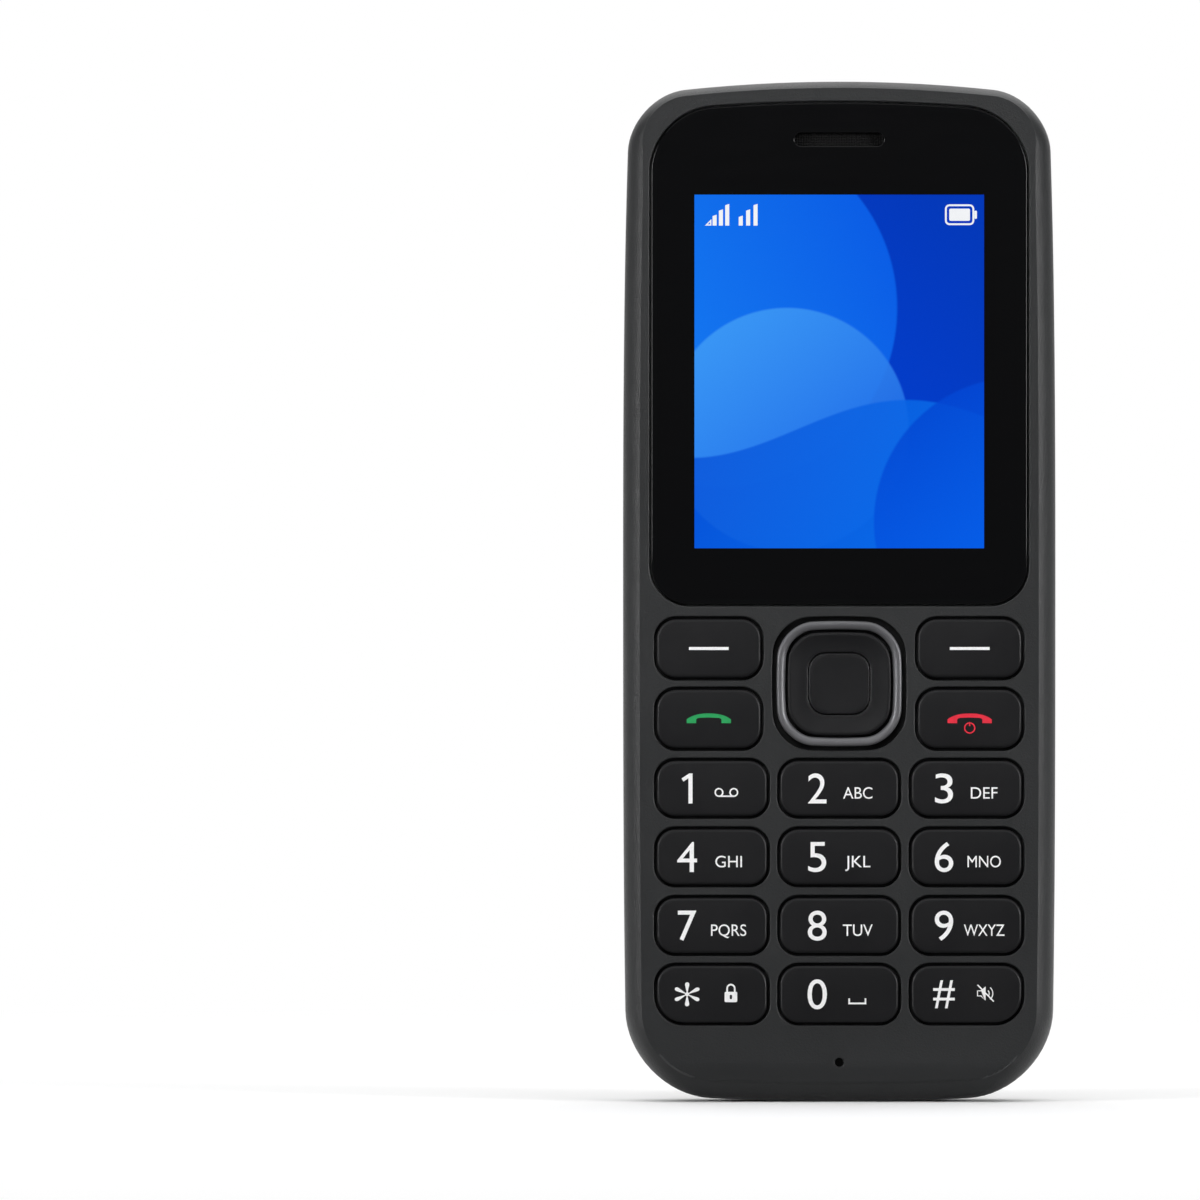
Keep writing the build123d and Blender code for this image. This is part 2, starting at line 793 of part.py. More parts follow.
def rear_chassis():
    """The inner frame behind the board: battery bay, card well, socket rooms and screw columns."""
    narrow_inset = body_width / 2 - chassis_half_width
    narrow = slab(inner_outline(narrow_inset), chassis_low, board_low)
    narrow = chamfer(end_edges(narrow, False), chassis_bevel)
    wide_low = lip_top + piece_gap
    solid = narrow + slab(inner_outline(housing_wall + piece_gap), wide_low, board_low)

    bay_low_y = battery_bottom - bay_gap
    bay_width = battery_width + 2 * bay_gap
    bay_middle = (bay_low_y + bay_end) / 2
    trim_middle = (bay_low_y + well_end) / 2
    trim_length = well_end - bay_low_y
    solid -= block(2 * body_width, trim_length, chassis_low - overrun, bay_wall_low, 0, trim_middle)
    solid -= block(bay_width, bay_end - bay_low_y, chassis_low - overrun, floor_low, 0, bay_middle)
    well_middle = well_end - well_length / 2
    solid -= block(bay_width, well_length, chassis_low - overrun, floor_low, 0, well_middle)

    hollow_inset = narrow_inset + chassis_wall
    hollow = slab(inner_outline(hollow_inset), floor_high, board_low + overrun)
    deep = slab(inner_outline(hollow_inset), chassis_low + chassis_wall, board_low + overrun)
    deep = chamfer(end_edges(deep, False), chassis_bevel)
    shallow_zone = block(2 * body_width, trim_length + 2 * chassis_wall, chassis_low, board_low + 2 * overrun,
                         0, trim_middle)
    room = hollow + (deep - shallow_zone)
    for x, y in screw_places:
        room -= post(boss_width, chassis_low, board_low + overrun, x, y)
    tube = post(2 * (torch_lens_radius + torch_cup_gap + torch_tube_wall), chassis_low,
                torch_led_low + torch_led_height + torch_tube_wall, 0, torch_y)
    solid = solid - room + tube

    cup = rod(torch_lens_radius + torch_cup_gap, chassis_low - overrun, torch_lens_high, 0, torch_y)
    cup += Pos(0, torch_y, (torch_lens_high + torch_led_low) / 2) * Cone(
        torch_lens_radius - torch_cup_gap, torch_led_width / 2, torch_led_low - torch_lens_high)
    cup += block(torch_led_width + slip_gap, torch_led_width + slip_gap, torch_led_low,
                 torch_led_low + torch_led_height, 0, torch_y)
    solid -= cup
    for x, y in screw_places:
        solid -= rod(screw_radius + screw_hole_gap, chassis_low - overrun, board_low + overrun, x, y)
        solid -= rod(screw_head_radius + slip_gap, chassis_low - overrun, screw_seat, x, y)
    solid -= card_windows()
    solid -= contact_block(piece_gap)
    solid -= jack_room(piece_gap)
    solid -= block(usb_width + 2 * piece_gap, usb_depth + 2 * piece_gap, board_low - usb_height - piece_gap,
                   board_low + overrun, 0, body_height - usb_recess - usb_depth / 2)
    solid -= port_cut()
    return solid - jack_cut()


def chassis_screws():
    """Four screws that hold the chassis and the board to the bosses of the front housing."""
    solids = []
    for x, y in screw_places:
        shank = rod(screw_radius, screw_seat, board_high + screw_bite - slip_gap, x, y)
        head = rod(screw_head_radius, screw_seat - screw_head_height, screw_seat, x, y)
        solids.append(shank + head)
    return solids


holder_places = {
    "sim_holder_left": (-sim_spacing / 2, sim_y, sim_width, sim_length),
    "sim_holder_right": (sim_spacing / 2, sim_y, sim_width, sim_length),
    "memory_card_holder": (0, memory_y, memory_width, memory_length),
}


def card_windows():
    """Openings in the chassis over the card holders."""
    windows = []
    for x, y, width, length in holder_places.values():
        windows.append(block(width + 2 * card_window_gap, length + 2 * card_window_gap, floor_low - overrun,
                             board_low + overrun, x, y))
    return windows


def card_holder(place):
    """A metal cage over the card's slot, open at its lower end."""
    x, y, width, length = place
    solid = block(width, length, sim_low, board_low, x, y)
    return solid - block(width - 2 * holder_wall, length - holder_wall + overrun, sim_low + holder_wall,
                         board_low - holder_wall, x, y - holder_wall / 2 - overrun / 2)


def contact_block(gap):
    low = (battery_low + battery_high) / 2 - gap
    y = bay_end + contact_depth / 2
    return block(contact_width + 2 * gap, contact_depth + 2 * gap, low, board_low, 0, y)


def battery_contacts():
    """The contact block at the top of the bay, with three sprung tips."""
    solid = contact_block(0)
    middle = (battery_low + battery_high) / 2 + contact_tip_width
    for step in (-1, 0, 1):
        solid += block(contact_tip_width, 2 * contact_tip_reach, middle, middle + 2 * contact_tip_width,
                       step * contact_tip_pitch, bay_end)
    return solid


def battery():
    middle = battery_bottom + battery_length / 2
    solid = block(battery_width, battery_length, battery_low, battery_high, 0, middle)
    return fillet(solid.edges().filter_by(Axis.Y), battery_edge_radius)


def shield(x):
    """A tin can over the chips on the back of the board."""
    low = board_low - component_height
    solid = block(shield_width, shield_length, low, board_low, x, shield_y)
    return solid - block(shield_width - 2 * shield_wall, shield_length - 2 * shield_wall, low + shield_wall,
                         board_low + overrun, x, shield_y)


def antenna():
    """A thin folded strip on the back of the chassis, at the bottom end."""
    y = narrow_end() + antenna_length / 2
    solid = block(antenna_width, antenna_length, chassis_low - antenna_thickness, chassis_low, 0, y)
    gap = block(antenna_width - 2 * antenna_slot, antenna_slot, chassis_low - 2 * antenna_thickness,
                chassis_low + overrun, antenna_slot, y)
    return solid - gap


def narrow_end():
    """The lowest y of the chassis's flat back."""
    return body_width / 2 - chassis_half_width + chassis_bevel


pieces = {
    "front_housing": front_housing(),
    "back_cover": back_cover(),
    "display_window": display_window(),
    "window_adhesive": window_adhesive(),
    "earpiece_mesh": earpiece_mesh(),
    "display_gasket": display_gasket(),
    "display_panel": display_panel(),
    "backlight_frame": backlight_frame(),
    "display_flex": display_flex(),
    "nav_rocker": nav_rocker(),
    "nav_ring": nav_ring(),
    "select_key": select_key(),
    "nav_cushion": nav_cushion(),
    "keypad_mat": keypad_mat(),
    "dome_sheet": dome_sheet(),
    "circuit_board": circuit_board(),
    "headphone_jack": headphone_jack(),
    "usb_connector": usb_connector(),
    "usb_tongue": usb_tongue(),
    "microphone": microphone(),
    "microphone_boot": microphone_boot(),
    "speaker": speaker(),
    "speaker_gasket": speaker_gasket(),
    "vibration_motor": vibration_motor(),
    "vibration_weight": vibration_weight(),
    "torch_lens": torch_lens(),
    "torch_led": torch_led(),
    "rear_chassis": rear_chassis(),
    "chassis_screws": Compound(chassis_screws()),
    "battery_contacts": battery_contacts(),
    "battery": battery(),
    "radio_shield": shield(-shield_spacing / 2),
    "processor_shield": shield(shield_spacing / 2),
    "antenna": antenna(),
}
for name, x, y, width, height, outer in key_places():
    pieces[name] = push_key(x, y, width, height, outer)
for name, place in holder_places.items():
    pieces[name] = card_holder(place)

# Stand the phone on its bottom end, with its face to -Y and its depth centred on the origin
upright = Pos(0, overall_depth / 2, 0) * Rot(90, 0, 0)
os.makedirs("parts", exist_ok=True)
for name, piece in pieces.items():
    export_step(upright * piece, f"parts/{name}.step")
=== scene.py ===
import json
from math import acos, asin, cos, hypot, pi, radians, sin, sqrt

import bmesh
import bpy
from mathutils import Matrix, Vector


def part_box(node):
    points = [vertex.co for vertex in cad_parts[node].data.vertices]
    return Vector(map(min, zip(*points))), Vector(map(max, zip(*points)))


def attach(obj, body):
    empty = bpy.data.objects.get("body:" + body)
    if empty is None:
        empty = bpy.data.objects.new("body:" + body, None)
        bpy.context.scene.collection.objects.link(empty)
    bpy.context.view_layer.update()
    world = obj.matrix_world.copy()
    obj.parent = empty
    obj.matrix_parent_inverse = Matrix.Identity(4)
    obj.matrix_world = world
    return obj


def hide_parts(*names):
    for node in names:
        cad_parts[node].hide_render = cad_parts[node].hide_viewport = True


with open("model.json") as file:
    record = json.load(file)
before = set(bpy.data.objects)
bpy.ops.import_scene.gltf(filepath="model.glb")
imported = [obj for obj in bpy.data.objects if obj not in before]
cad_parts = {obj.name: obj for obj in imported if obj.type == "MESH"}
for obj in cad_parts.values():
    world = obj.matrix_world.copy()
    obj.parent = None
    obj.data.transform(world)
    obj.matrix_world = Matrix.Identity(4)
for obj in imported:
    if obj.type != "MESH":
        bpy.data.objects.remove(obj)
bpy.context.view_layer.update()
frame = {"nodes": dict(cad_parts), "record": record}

# Lengths are in millimetres: x across the phone, z up it, and level above its back.
MM = 0.001
BACK_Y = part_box("back_cover")[1].y


def span(node):
    """Left, right, bottom and top of a CAD node."""
    low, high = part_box(node)
    return low.x / MM, high.x / MM, low.z / MM, high.z / MM


def levels(node):
    """A CAD node's lowest and highest level."""
    low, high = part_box(node)
    return (BACK_Y - high.y) / MM, (BACK_Y - low.y) / MM


def middle(node):
    left, right, bottom, top = span(node)
    return (left + right) / 2, (bottom + top) / 2


def size_of(node):
    left, right, bottom, top = span(node)
    return right - left, top - bottom


def place(x, z, level):
    return x * MM, BACK_Y - level * MM, z * MM


# Body. Its rim drops between two distances from the middle.
BODY_WIDTH, BODY_HEIGHT = size_of("front_housing")
RIM_LEVEL, FACE_LEVEL = levels("front_housing")
TOP_CROWN = 1.67
TOP_RADIUS = 6.4
BOTTOM_RADIUS = 9.5
BOTTOM_CROWN = 1.0
CROWN_REACH = 24
LEAST_RADIUS = 1
TAPER_MIDDLE = 60.0
TOP_TAPER = 0.85
TOP_TAPER_POWER = 2.5
BOTTOM_TAPER = 0.35
BOTTOM_TAPER_POWER = 3
REAR_RADIUS = 6.0
HOUSING_WALL = 1.3
RIM_WIDTH = 0.65
RIM_DROP = (21.5, 23.2)
PART_LINE = 4.655
SIDE_LEVELS = (PART_LINE + 0.05, 5.2, REAR_RADIUS)
CORNER_STEPS = 16
SIDE_STEPS = 20

# The face's rolled edge, which narrows along the top end, and the chin
FACE_RADIUS = 4.0
FACE_TRIM = 0.6
FACE_CENTER = FACE_LEVEL + FACE_TRIM - FACE_RADIUS
FACE_ANGLE = asin((FACE_LEVEL - FACE_CENTER) / FACE_RADIUS)
FACE_INSET = FACE_RADIUS * (1 - cos(FACE_ANGLE))
FACE_OVERLAP = 0.003
FACE_BORDER = 0.3
FACE_WALL = 1.2
PLATE_BORDER = 0.1
ROLL_STEPS = 8
TOP_ROLL_SHARE = 0.42
TOP_ROLL_FROM = 9
TOP_ROLL_TO = 2.5
CHIN_RADIUS = 5.0
CHIN_REACH = 4.6
CHIN_STEPS = 24

# Sockets
PORT_WIDTH = 8.8
PORT_HEIGHT = 4.4
PORT_RADIUS = 1.6
PORT_LEVEL = 6.0
JACK_WIDTH = 5
SOCKET_DEPTH = 3
CUT_PAST = 2

# Cover, with the inset and level of the rings inside it, and the growth and level of those that cut the
# torch's hole
COVER_FRONT = 4.455
COVER_SIDE_INSET = 0.85
COVER_WALL = 1.1
COVER_STEPS = 12
COVER_INSIDE = ((5.4, COVER_WALL), (3.6, 1.35), (2.2, 2.1), (1.4, 3.4), (1.3, COVER_FRONT))
TORCH_HOLE_RADIUS = 2.1
TORCH_CUT = ((1.12, -0.5), (1.12, -0.01), (1, 0.22), (1, 2))
NOTCH_WIDTH = 6.05
NOTCH_DEPTH = 0.6
NOTCH_RADIUS = 0.3
NOTCH_LOW = 3.455
NOTCH_HIGH = 6

# Window and slot
WINDOW_CROWN = 1.5
WINDOW_TOP_RADIUS = 6.6
WINDOW_BOTTOM_RADIUS = 4.2
WINDOW_GAP = 0.25
WINDOW_BEVEL = 0.12
LEDGE_REACH = 0.7
LEDGE_BORDER = 0.8
LEDGE_RADIUS = 0.4
LEDGE_THICKNESS = 0.6
LEDGE_BEVEL = 0.02
SLOT_WIDTH = 9.9
SLOT_HEIGHT = 1.5
SLOT_Z = 106.7
ACTIVE_WIDTH = 32.1
ACTIVE_HEIGHT = 39.2
ACTIVE_Z = 81.0

# Keys and microphone
KEY_REACH = 0.55
KEY_GAP = 0.33
KEY_CORNER_SHARE = 0.33
KEY_OUTER_SHARE = 0.48
KEY_BEVEL = 0.28
BEVEL_FOOT = 0.05
BEVEL_STEPS = 4
LEAST_CORNER = 0.1
KEY_CROWN = 0.06
CROWN_RINGS = (0.94, 0.8, 0.6, 0.35, 0.12)
FLANGE_DROP = 1.5
FLANGE_THICKNESS = 0.4
FLANGE_TRIM = 0.1
MIC_RADIUS = 0.5
MIC_STEPS = 10
# Width, steps and depth of the dark plug in the microphone hole, which is painted shade that keeps the hole
# black
SHADE_PLUG_WIDTH = 0.98
SHADE_PLUG_STEPS = 8
SHADE_PLUG_DROP = 0.75
EDGE_BEVEL = 0.1

# Four-way key. In its profiles, a share goes from the outer outline to the inner one.
NAV_OPENING = 14.9
NAV_RADIUS = 3.65
NAV_BULGE = 0.35
NAV_BAND = 0.95
NAV_BASE_DROP = 2.35
NAV_BASE_THICKNESS = 0.5
NAV_PAD_WIDTH = 11.5
NAV_RIM_WIDTH = 11.0
NAV_RIM_TRIM = 0.2
NAV_EDGE = ((0, 0.25), (0.3, 0.08), (1, 0))
NAV_DISH = 0.3
NAV_DISH_RINGS = (0.1, 0.25, 0.4, 0.55, 0.7, 0.85, 0.97)
NAV_DISH_FOOT = 0.04
RING_TOP = ((0, 0.28), (0.08, 0.1), (0.22, 0.02), (0.42, 0), (0.66, 0.06), (0.9, 0.24), (1, 0.45))
SELECT_WIDTH = 6.75
SELECT_RADIUS = 1.9
SELECT_GAP = 0.1
SELECT_DEPTH = 3
SELECT_DROP = 0.3
SELECT_EDGE = ((1, 0.15), (0.985, 0.05), (0.96, 0))
SELECT_DISH = 0.08
SELECT_RINGS = (0.85, 0.6, 0.35, 0.12)

# Torch cup
CUP_RADIUS = 1.7
CUP_SQUARE = 0.84
CUP_LEVEL = 1.13
CUP_DEPTH = 0.42
CUP_STEPS = 48
CUP_RINGS = (0, 0.4, 0.8, 1)

# Finish of the meshes: the turn in degrees over which an edge is sharp, and the cosines over which a face
# counts as level and under which as tilted
SHARP_ANGLE = 38
LEVEL_FACE = 0.99999
TILTED = 0.996
WELD = MM / 1000


def smooth_step(value, low, high):
    share = min(1, max(0, (value - low) / (high - low)))
    return share * share * (3 - 2 * share)


def rounded_outline(width, height, radii, steps=CORNER_STEPS, side_steps=1):
    """Points round a rectangle about the origin. The radii are those of its lower right, upper
    right, upper left and lower left corners."""
    points = []
    signs = ((1, -1), (1, 1), (-1, 1), (-1, -1))
    for number, ((side, end), radius) in enumerate(zip(signs, radii)):
        start = (number - 1) * pi / 2
        x = side * (width / 2 - radius)
        z = end * (height / 2 - radius)
        corner = [
            (x + radius * cos(start + step * pi / 2 / steps),
             z + radius * sin(start + step * pi / 2 / steps))
            for step in range(steps + 1)
        ]
        points += corner
        turn = start + pi / 2
        next_side, next_end = signs[(number + 1) % 4]
        next_radius = radii[(number + 1) % 4]
        goal_x = next_side * (width / 2 - next_radius) + next_radius * cos(turn)
        goal_z = next_end * (height / 2 - next_radius) + next_radius * sin(turn)
        last_x, last_z = corner[-1]
        for step in range(1, side_steps):
            share = step / side_steps
            points.append((last_x + (goal_x - last_x) * share, last_z + (goal_z - last_z) * share))
    return points


def body_outline(inset=0, side_inset=0):
    """The phone's outline: it bows out at both ends, and its sides draw in towards them."""
    width = BODY_WIDTH - 2 * inset - 2 * side_inset
    low = max(BOTTOM_RADIUS - inset, LEAST_RADIUS)
    high = max(TOP_RADIUS - inset, LEAST_RADIUS)
    half = BODY_HEIGHT / 2
    points = rounded_outline(width, BODY_HEIGHT - 2 * inset, (low, high, high, low), side_steps=SIDE_STEPS)
    shaped = []
    for x, z in points:
        z += half
        reach = (z - TAPER_MIDDLE) / half
        if reach > 0:
            taper = TOP_TAPER * reach ** TOP_TAPER_POWER
        else:
            taper = BOTTOM_TAPER * (-reach) ** BOTTOM_TAPER_POWER
        side = (x / (BODY_WIDTH / 2)) ** 2
        crown = TOP_CROWN * side * smooth_step(z, BODY_HEIGHT - CROWN_REACH, BODY_HEIGHT)
        crown -= BOTTOM_CROWN * side * (1 - smooth_step(z, 0, CROWN_REACH))
        shaped.append((x * (1 - taper / (BODY_WIDTH / 2)), z - crown))
    return shaped


def face_outline(inset):
    """The outline at an inset from the rolled edge's foot. Along the top end the roll is narrower."""
    roll = min(inset, FACE_INSET)
    narrow = body_outline(TOP_ROLL_SHARE * roll + inset - roll)
    shaped = []
    for (x, z), (near_x, near_z) in zip(body_outline(inset), narrow):
        share = smooth_step(z, BODY_HEIGHT - TOP_ROLL_FROM, BODY_HEIGHT - TOP_ROLL_TO)
        shaped.append((x + (near_x - x) * share, z + (near_z - z) * share))
    return shaped


def window_outline(growth=0):
    width, height = size_of("display_window")
    center = middle("display_window")[1]
    low = WINDOW_BOTTOM_RADIUS + growth
    high = WINDOW_TOP_RADIUS + growth
    outline = rounded_outline(width + 2 * growth, height + 2 * growth, (low, high, high, low),
                              side_steps=SIDE_STEPS)
    crown = WINDOW_CROWN * (width / BODY_WIDTH) ** 2
    return [
        (x, z + center - crown * (x / (width / 2)) ** 2 * smooth_step(z, 0, height / 2))
        for x, z in outline
    ]


def squircle(width, radius, bulge=NAV_BULGE):
    """A rounded square whose sides bow outwards."""
    near = width / 2 - bulge
    square = rounded_outline(2 * near, 2 * near, (radius,) * 4, side_steps=SIDE_STEPS)
    grow = bulge / near
    return [
        (x * (1 + grow * (1 - (z / near) ** 2)), z * (1 + grow * (1 - (x / near) ** 2)))
        for x, z in square
    ]


def slot_outline(width, height, steps=CORNER_STEPS):
    """An outline with round ends, or a circle where both sizes are the same."""
    return rounded_outline(width, height, (height / 2 - 0.001,) * 4, steps)


def moved(points, x, z):
    return [(px + x, pz + z) for px, pz in points]


def scaled(points, factor):
    return [(x * factor, z * factor) for x, z in points]


def blended(first, second, share):
    return [
        (a + (c - a) * share, b + (d - b) * share)
        for (a, b), (c, d) in zip(first, second)
    ]


def ring(points, level):
    """A ring of points at a level, which is a number or a function of x and z."""
    return [(x, z, level(x, z) if callable(level) else level) for x, z in points]


def shifted(rings, x, z):
    return [[(px + x, pz + z, level) for px, pz, level in row] for row in rings]


def new_mesh(name, bm):
    mesh = bpy.data.meshes.new(name)
    bm.to_mesh(mesh)
    bm.free()
    return mesh


def finish_mesh(name, mesh, finish):
    """Makes an object of a mesh, with a material, smooth faces, and sharp edges where it turns hard or
    meets a level face."""
    mesh.materials.clear()
    mesh.materials.append(MATERIALS[finish])
    for polygon in mesh.polygons:
        polygon.use_smooth = True
    mesh.set_sharp_from_angle(angle=radians(SHARP_ANGLE))
    bm = bmesh.new()
    bm.from_mesh(mesh)
    for edge in bm.edges:
        tilts = sorted(abs(face.normal.y) for face in edge.link_faces)
        if len(tilts) == 2 and tilts[0] < TILTED < LEVEL_FACE < tilts[1]:
            edge.smooth = False
    bm.to_mesh(mesh)
    bm.free()
    piece = bpy.data.objects.new(name, mesh)
    bpy.context.scene.collection.objects.link(piece)
    weights = piece.modifiers.new("weights", "WEIGHTED_NORMAL")
    weights.keep_sharp = True
    return piece


def loft(name, rings, finish, closed=False, first_cap=True, last_cap=True):
    """A skin through rings of equal length, closed into a loop or capped at its ends."""
    bm = bmesh.new()
    rows = [[bm.verts.new(place(*point)) for point in row] for row in rings]
    count = len(rows[0])
    pairs = list(zip(rows, rows[1:]))
    if closed:
        pairs.append((rows[-1], rows[0]))
    for lower, upper in pairs:
        for step in range(count):
            ahead = (step + 1) % count
            bm.faces.new((lower[step], lower[ahead], upper[ahead], upper[step]))
    if not closed and first_cap:
        bm.faces.new(rows[0][::-1])
    if not closed and last_cap:
        bm.faces.new(rows[-1])
    bmesh.ops.recalc_face_normals(bm, faces=bm.faces)
    return finish_mesh(name, new_mesh(name, bm), finish)


def evaluated_mesh(piece):
    """The mesh that an object shows, with its modifiers applied."""
    graph = bpy.context.evaluated_depsgraph_get()
    return bpy.data.meshes.new_from_object(piece.evaluated_get(graph))


def curve_mesh(curve):
    """The mesh that a curve makes. The curve is removed."""
    holder = bpy.data.objects.new(curve.name, curve)
    bpy.context.scene.collection.objects.link(holder)
    mesh = evaluated_mesh(holder)
    bpy.data.objects.remove(holder)
    bpy.data.curves.remove(curve)
    return mesh


def filled_mesh(name, outlines, **settings):
    """A flat mesh in the first outline. The others are its holes."""
    curve = bpy.data.curves.new(name, "CURVE")
    curve.dimensions = "2D"
    curve.fill_mode = "BOTH"
    for key, value in settings.items():
        setattr(curve, key, value)
    for outline in outlines:
        spline = curve.splines.new("POLY")
        spline.points.add(len(outline) - 1)
        for point, (x, z) in zip(spline.points, outline):
            point.co = (x, z, 0, 1)
        spline.use_cyclic_u = True
    return curve_mesh(curve)


def plate_mesh(name, outlines, low, high, bevel):
    """A flat plate with holes and softly rounded edges: the first outline is its outside."""
    mesh = filled_mesh(name, outlines, extrude=(high - low) / 2 - bevel, bevel_depth=bevel,
                       bevel_resolution=3, offset=-bevel)
    for vertex in mesh.vertices:
        x, z, height = vertex.co
        vertex.co = place(x, z, (low + high) / 2 + height)
    return mesh


def merged(mesh, other):
    """One mesh that holds both."""
    bm = bmesh.new()
    bm.from_mesh(mesh)
    bm.from_mesh(other)
    bmesh.ops.remove_doubles(bm, verts=bm.verts, dist=WELD)
    bm.to_mesh(mesh)
    bm.free()
    return mesh


def cut(piece, cutters, finish):
    """Cuts other closed pieces out of one, and removes them."""
    for cutter in cutters:
        knife = piece.modifiers.new("cut", "BOOLEAN")
        knife.operation = "DIFFERENCE"
        knife.solver = "EXACT"
        knife.object = cutter
    mesh = evaluated_mesh(piece)
    name = piece.name
    bpy.data.objects.remove(piece)
    for cutter in cutters:
        bpy.data.objects.remove(cutter)
    return finish_mesh(name, mesh, finish)


def chin_drop(z):
    """How far the face falls away towards the bottom end."""
    fall = max(0, CHIN_REACH - max(z, 0))
    return CHIN_RADIUS - sqrt(CHIN_RADIUS ** 2 - fall ** 2)


class Graph:
    """A material's or a world's nodes, made by short calls: a value that is a socket is linked, others are
    set."""

    def __init__(self, name="finish", world=None):
        self.owner = world or bpy.data.materials.new(name)
        self.owner.use_nodes = True
        self.tree = self.owner.node_tree
        self.tree.nodes.clear()
        self.output = self.add("OutputWorld" if world else "OutputMaterial")

    def join(self, socket, value):
        if isinstance(value, bpy.types.NodeSocket):
            self.tree.links.new(value, socket)
        elif socket.type == "VECTOR":
            socket.default_value = value[:3]
        else:
            socket.default_value = value

    def add(self, kind, values=None, **settings):
        node = self.tree.nodes.new("ShaderNode" + kind)
        for key, value in settings.items():
            setattr(node, key, value)
        for key, value in (values or {}).items():
            self.join(node.inputs[key], value)
        return node

    def math(self, operation, *values):
        return self.add("Math", dict(enumerate(values)), operation=operation).outputs[0]

    def coordinates(self):
        return self.add("TexCoord").outputs["Object"]

    def axes(self):
        return self.add("SeparateXYZ", {0: self.coordinates()}).outputs

    def stretched(self, scale):
        return self.add("Mapping", {"Vector": self.coordinates(), "Scale": scale}).outputs[0]

    def noise(self, size, detail=3, vector=None, roughness=0.5):
        """Noise whose blots are about a size in millimetres."""
        values = {"Vector": vector or self.coordinates(), "Scale": 1 / (size * MM), "Detail": detail,
                  "Roughness": roughness}
        return self.add("TexNoise", values).outputs["Fac"]

    def between(self, value, low, high, start=0.3, end=0.7):
        """A value's range from start to end, drawn out to that from low to high."""
        values = {"Value": value, "From Min": start, "From Max": end, "To Min": low, "To Max": high}
        return self.add("MapRange", values).outputs["Result"]

    def tinted(self, color, tone):
        """A colour multiplied by a tone."""
        return self.add("VectorMath", {0: color, "Scale": tone}, operation="SCALE").outputs[0]

    def mixed(self, share, first, second):
        node = self.add("Mix", {"Factor": share, "A": first, "B": second}, data_type="RGBA")
        return next(socket for socket in node.outputs if socket.type == "RGBA")

    def bump(self, height, depth):
        """A normal for a height from 0 to 1 whose depth is in millimetres."""
        return self.add("Bump", {"Height": height, "Distance": depth * MM}).outputs["Normal"]

    def surface(self, shader):
        self.tree.links.new(shader, self.output.inputs["Surface"])
        return self.owner

    def principled(self, **values):
        inputs = {key.replace("_", " "): value for key, value in values.items()}
        return self.add("BsdfPrincipled", inputs).outputs[0]


def shade(red, green, blue):
    """A colour from its screen values of 0 to 255."""
    def linear(value):
        value /= 255
        return value / 12.92 if value <= 0.04045 else ((value + 0.055) / 1.055) ** 2.4
    return linear(red), linear(green), linear(blue), 1


def moulded(color, roughness=0.5, grain=0.16, depth=0.02, mottle=0.12, gloss=0.5, glow=0.0):
    """Moulded plastic or rubber: a spark-eroded grain, a faint mottle and handling marks in the gloss."""
    graph = Graph()
    fine = graph.noise(grain, 4, roughness=0.65)
    tone = graph.between(graph.noise(14, 2), 1 - mottle, 1 + mottle)
    rough = graph.math("ADD", graph.between(graph.noise(9, 3), roughness - 0.05, roughness + 0.05),
                       graph.between(fine, -0.03, 0.03))
    return graph.surface(graph.principled(
        Base_Color=graph.tinted(color, tone), Roughness=rough, Specular_IOR_Level=gloss,
        Emission_Color=color, Emission_Strength=glow, Normal=graph.bump(fine, depth)))


def leathery(color, roughness):
    """The cover's plastic: a fine pebbled grain over a soft, larger unevenness."""
    graph = Graph()
    cells = graph.add("TexVoronoi", {"Vector": graph.coordinates(), "Scale": 1 / (0.5 * MM)},
                      feature="SMOOTH_F1").outputs["Distance"]
    fine = graph.noise(0.16, 3, roughness=0.6)
    height = graph.math("ADD", graph.math("MULTIPLY", cells, 0.7), graph.math("MULTIPLY", fine, 0.5))
    tone = graph.between(graph.noise(18, 2), 0.9, 1.1)
    rough = graph.between(graph.noise(6, 3), roughness - 0.05, roughness + 0.05)
    return graph.surface(graph.principled(
        Base_Color=graph.tinted(color, tone), Roughness=rough, Normal=graph.bump(height, 0.06)))


def metal(color, roughness, stretch=(1, 1, 12), grain=0.5, depth=0.006, share=1.0):
    """Metal with fine drawn lines and faint stains; a low share makes it a satin metallic paint."""
    graph = Graph()
    lines = graph.noise(grain, 5, graph.stretched(stretch), 0.6)
    tone = graph.between(graph.noise(3.5, 3), 0.9, 1.06)
    return graph.surface(graph.principled(
        Base_Color=graph.tinted(color, tone), Metallic=share,
        Roughness=graph.between(lines, roughness - 0.06, roughness + 0.08),
        Normal=graph.bump(lines, depth)))


def woven(color):
    """A fine mesh: two crossed sets of wires, with painted shade in the pores between them and a painted
    highlight on the raised crossings.
    """
    graph = Graph()
    parts = graph.axes()
    pitch = 2 * pi / (0.28 * MM)
    along = graph.math("SINE", graph.math("MULTIPLY", parts["X"], pitch))
    across = graph.math("SINE", graph.math("MULTIPLY", parts["Z"], pitch))
    height = graph.math("MULTIPLY", graph.math("ADD", along, across), 0.25)
    # Painted shade and highlight: the colour is darker where the wires dip into the pores and lighter on
    # their raised crossings
    tone = graph.between(height, 0.25, 1.2, -0.4, 0.4)
    return graph.surface(graph.principled(
        Base_Color=graph.tinted(color, tone), Metallic=0.7, Roughness=0.45,
        Normal=graph.bump(height, 0.05)))


def printed_board():
    """Green laminate with copper runs showing through the lacquer."""
    graph = Graph()
    cells = graph.add("TexVoronoi", {"Vector": graph.coordinates(), "Scale": 1 / (2.2 * MM)},
                      feature="DISTANCE_TO_EDGE").outputs["Distance"]
    runs = graph.between(cells, 1, 0, 0.02, 0.06)
    weave = graph.noise(0.4, 2)
    color = graph.mixed(runs, shade(18, 92, 52), shade(52, 132, 74))
    return graph.surface(graph.principled(
        Base_Color=graph.tinted(color, graph.between(weave, 0.85, 1.1)), Roughness=0.32,
        Normal=graph.bump(graph.math("ADD", runs, graph.math("MULTIPLY", weave, 0.3)), 0.02)))


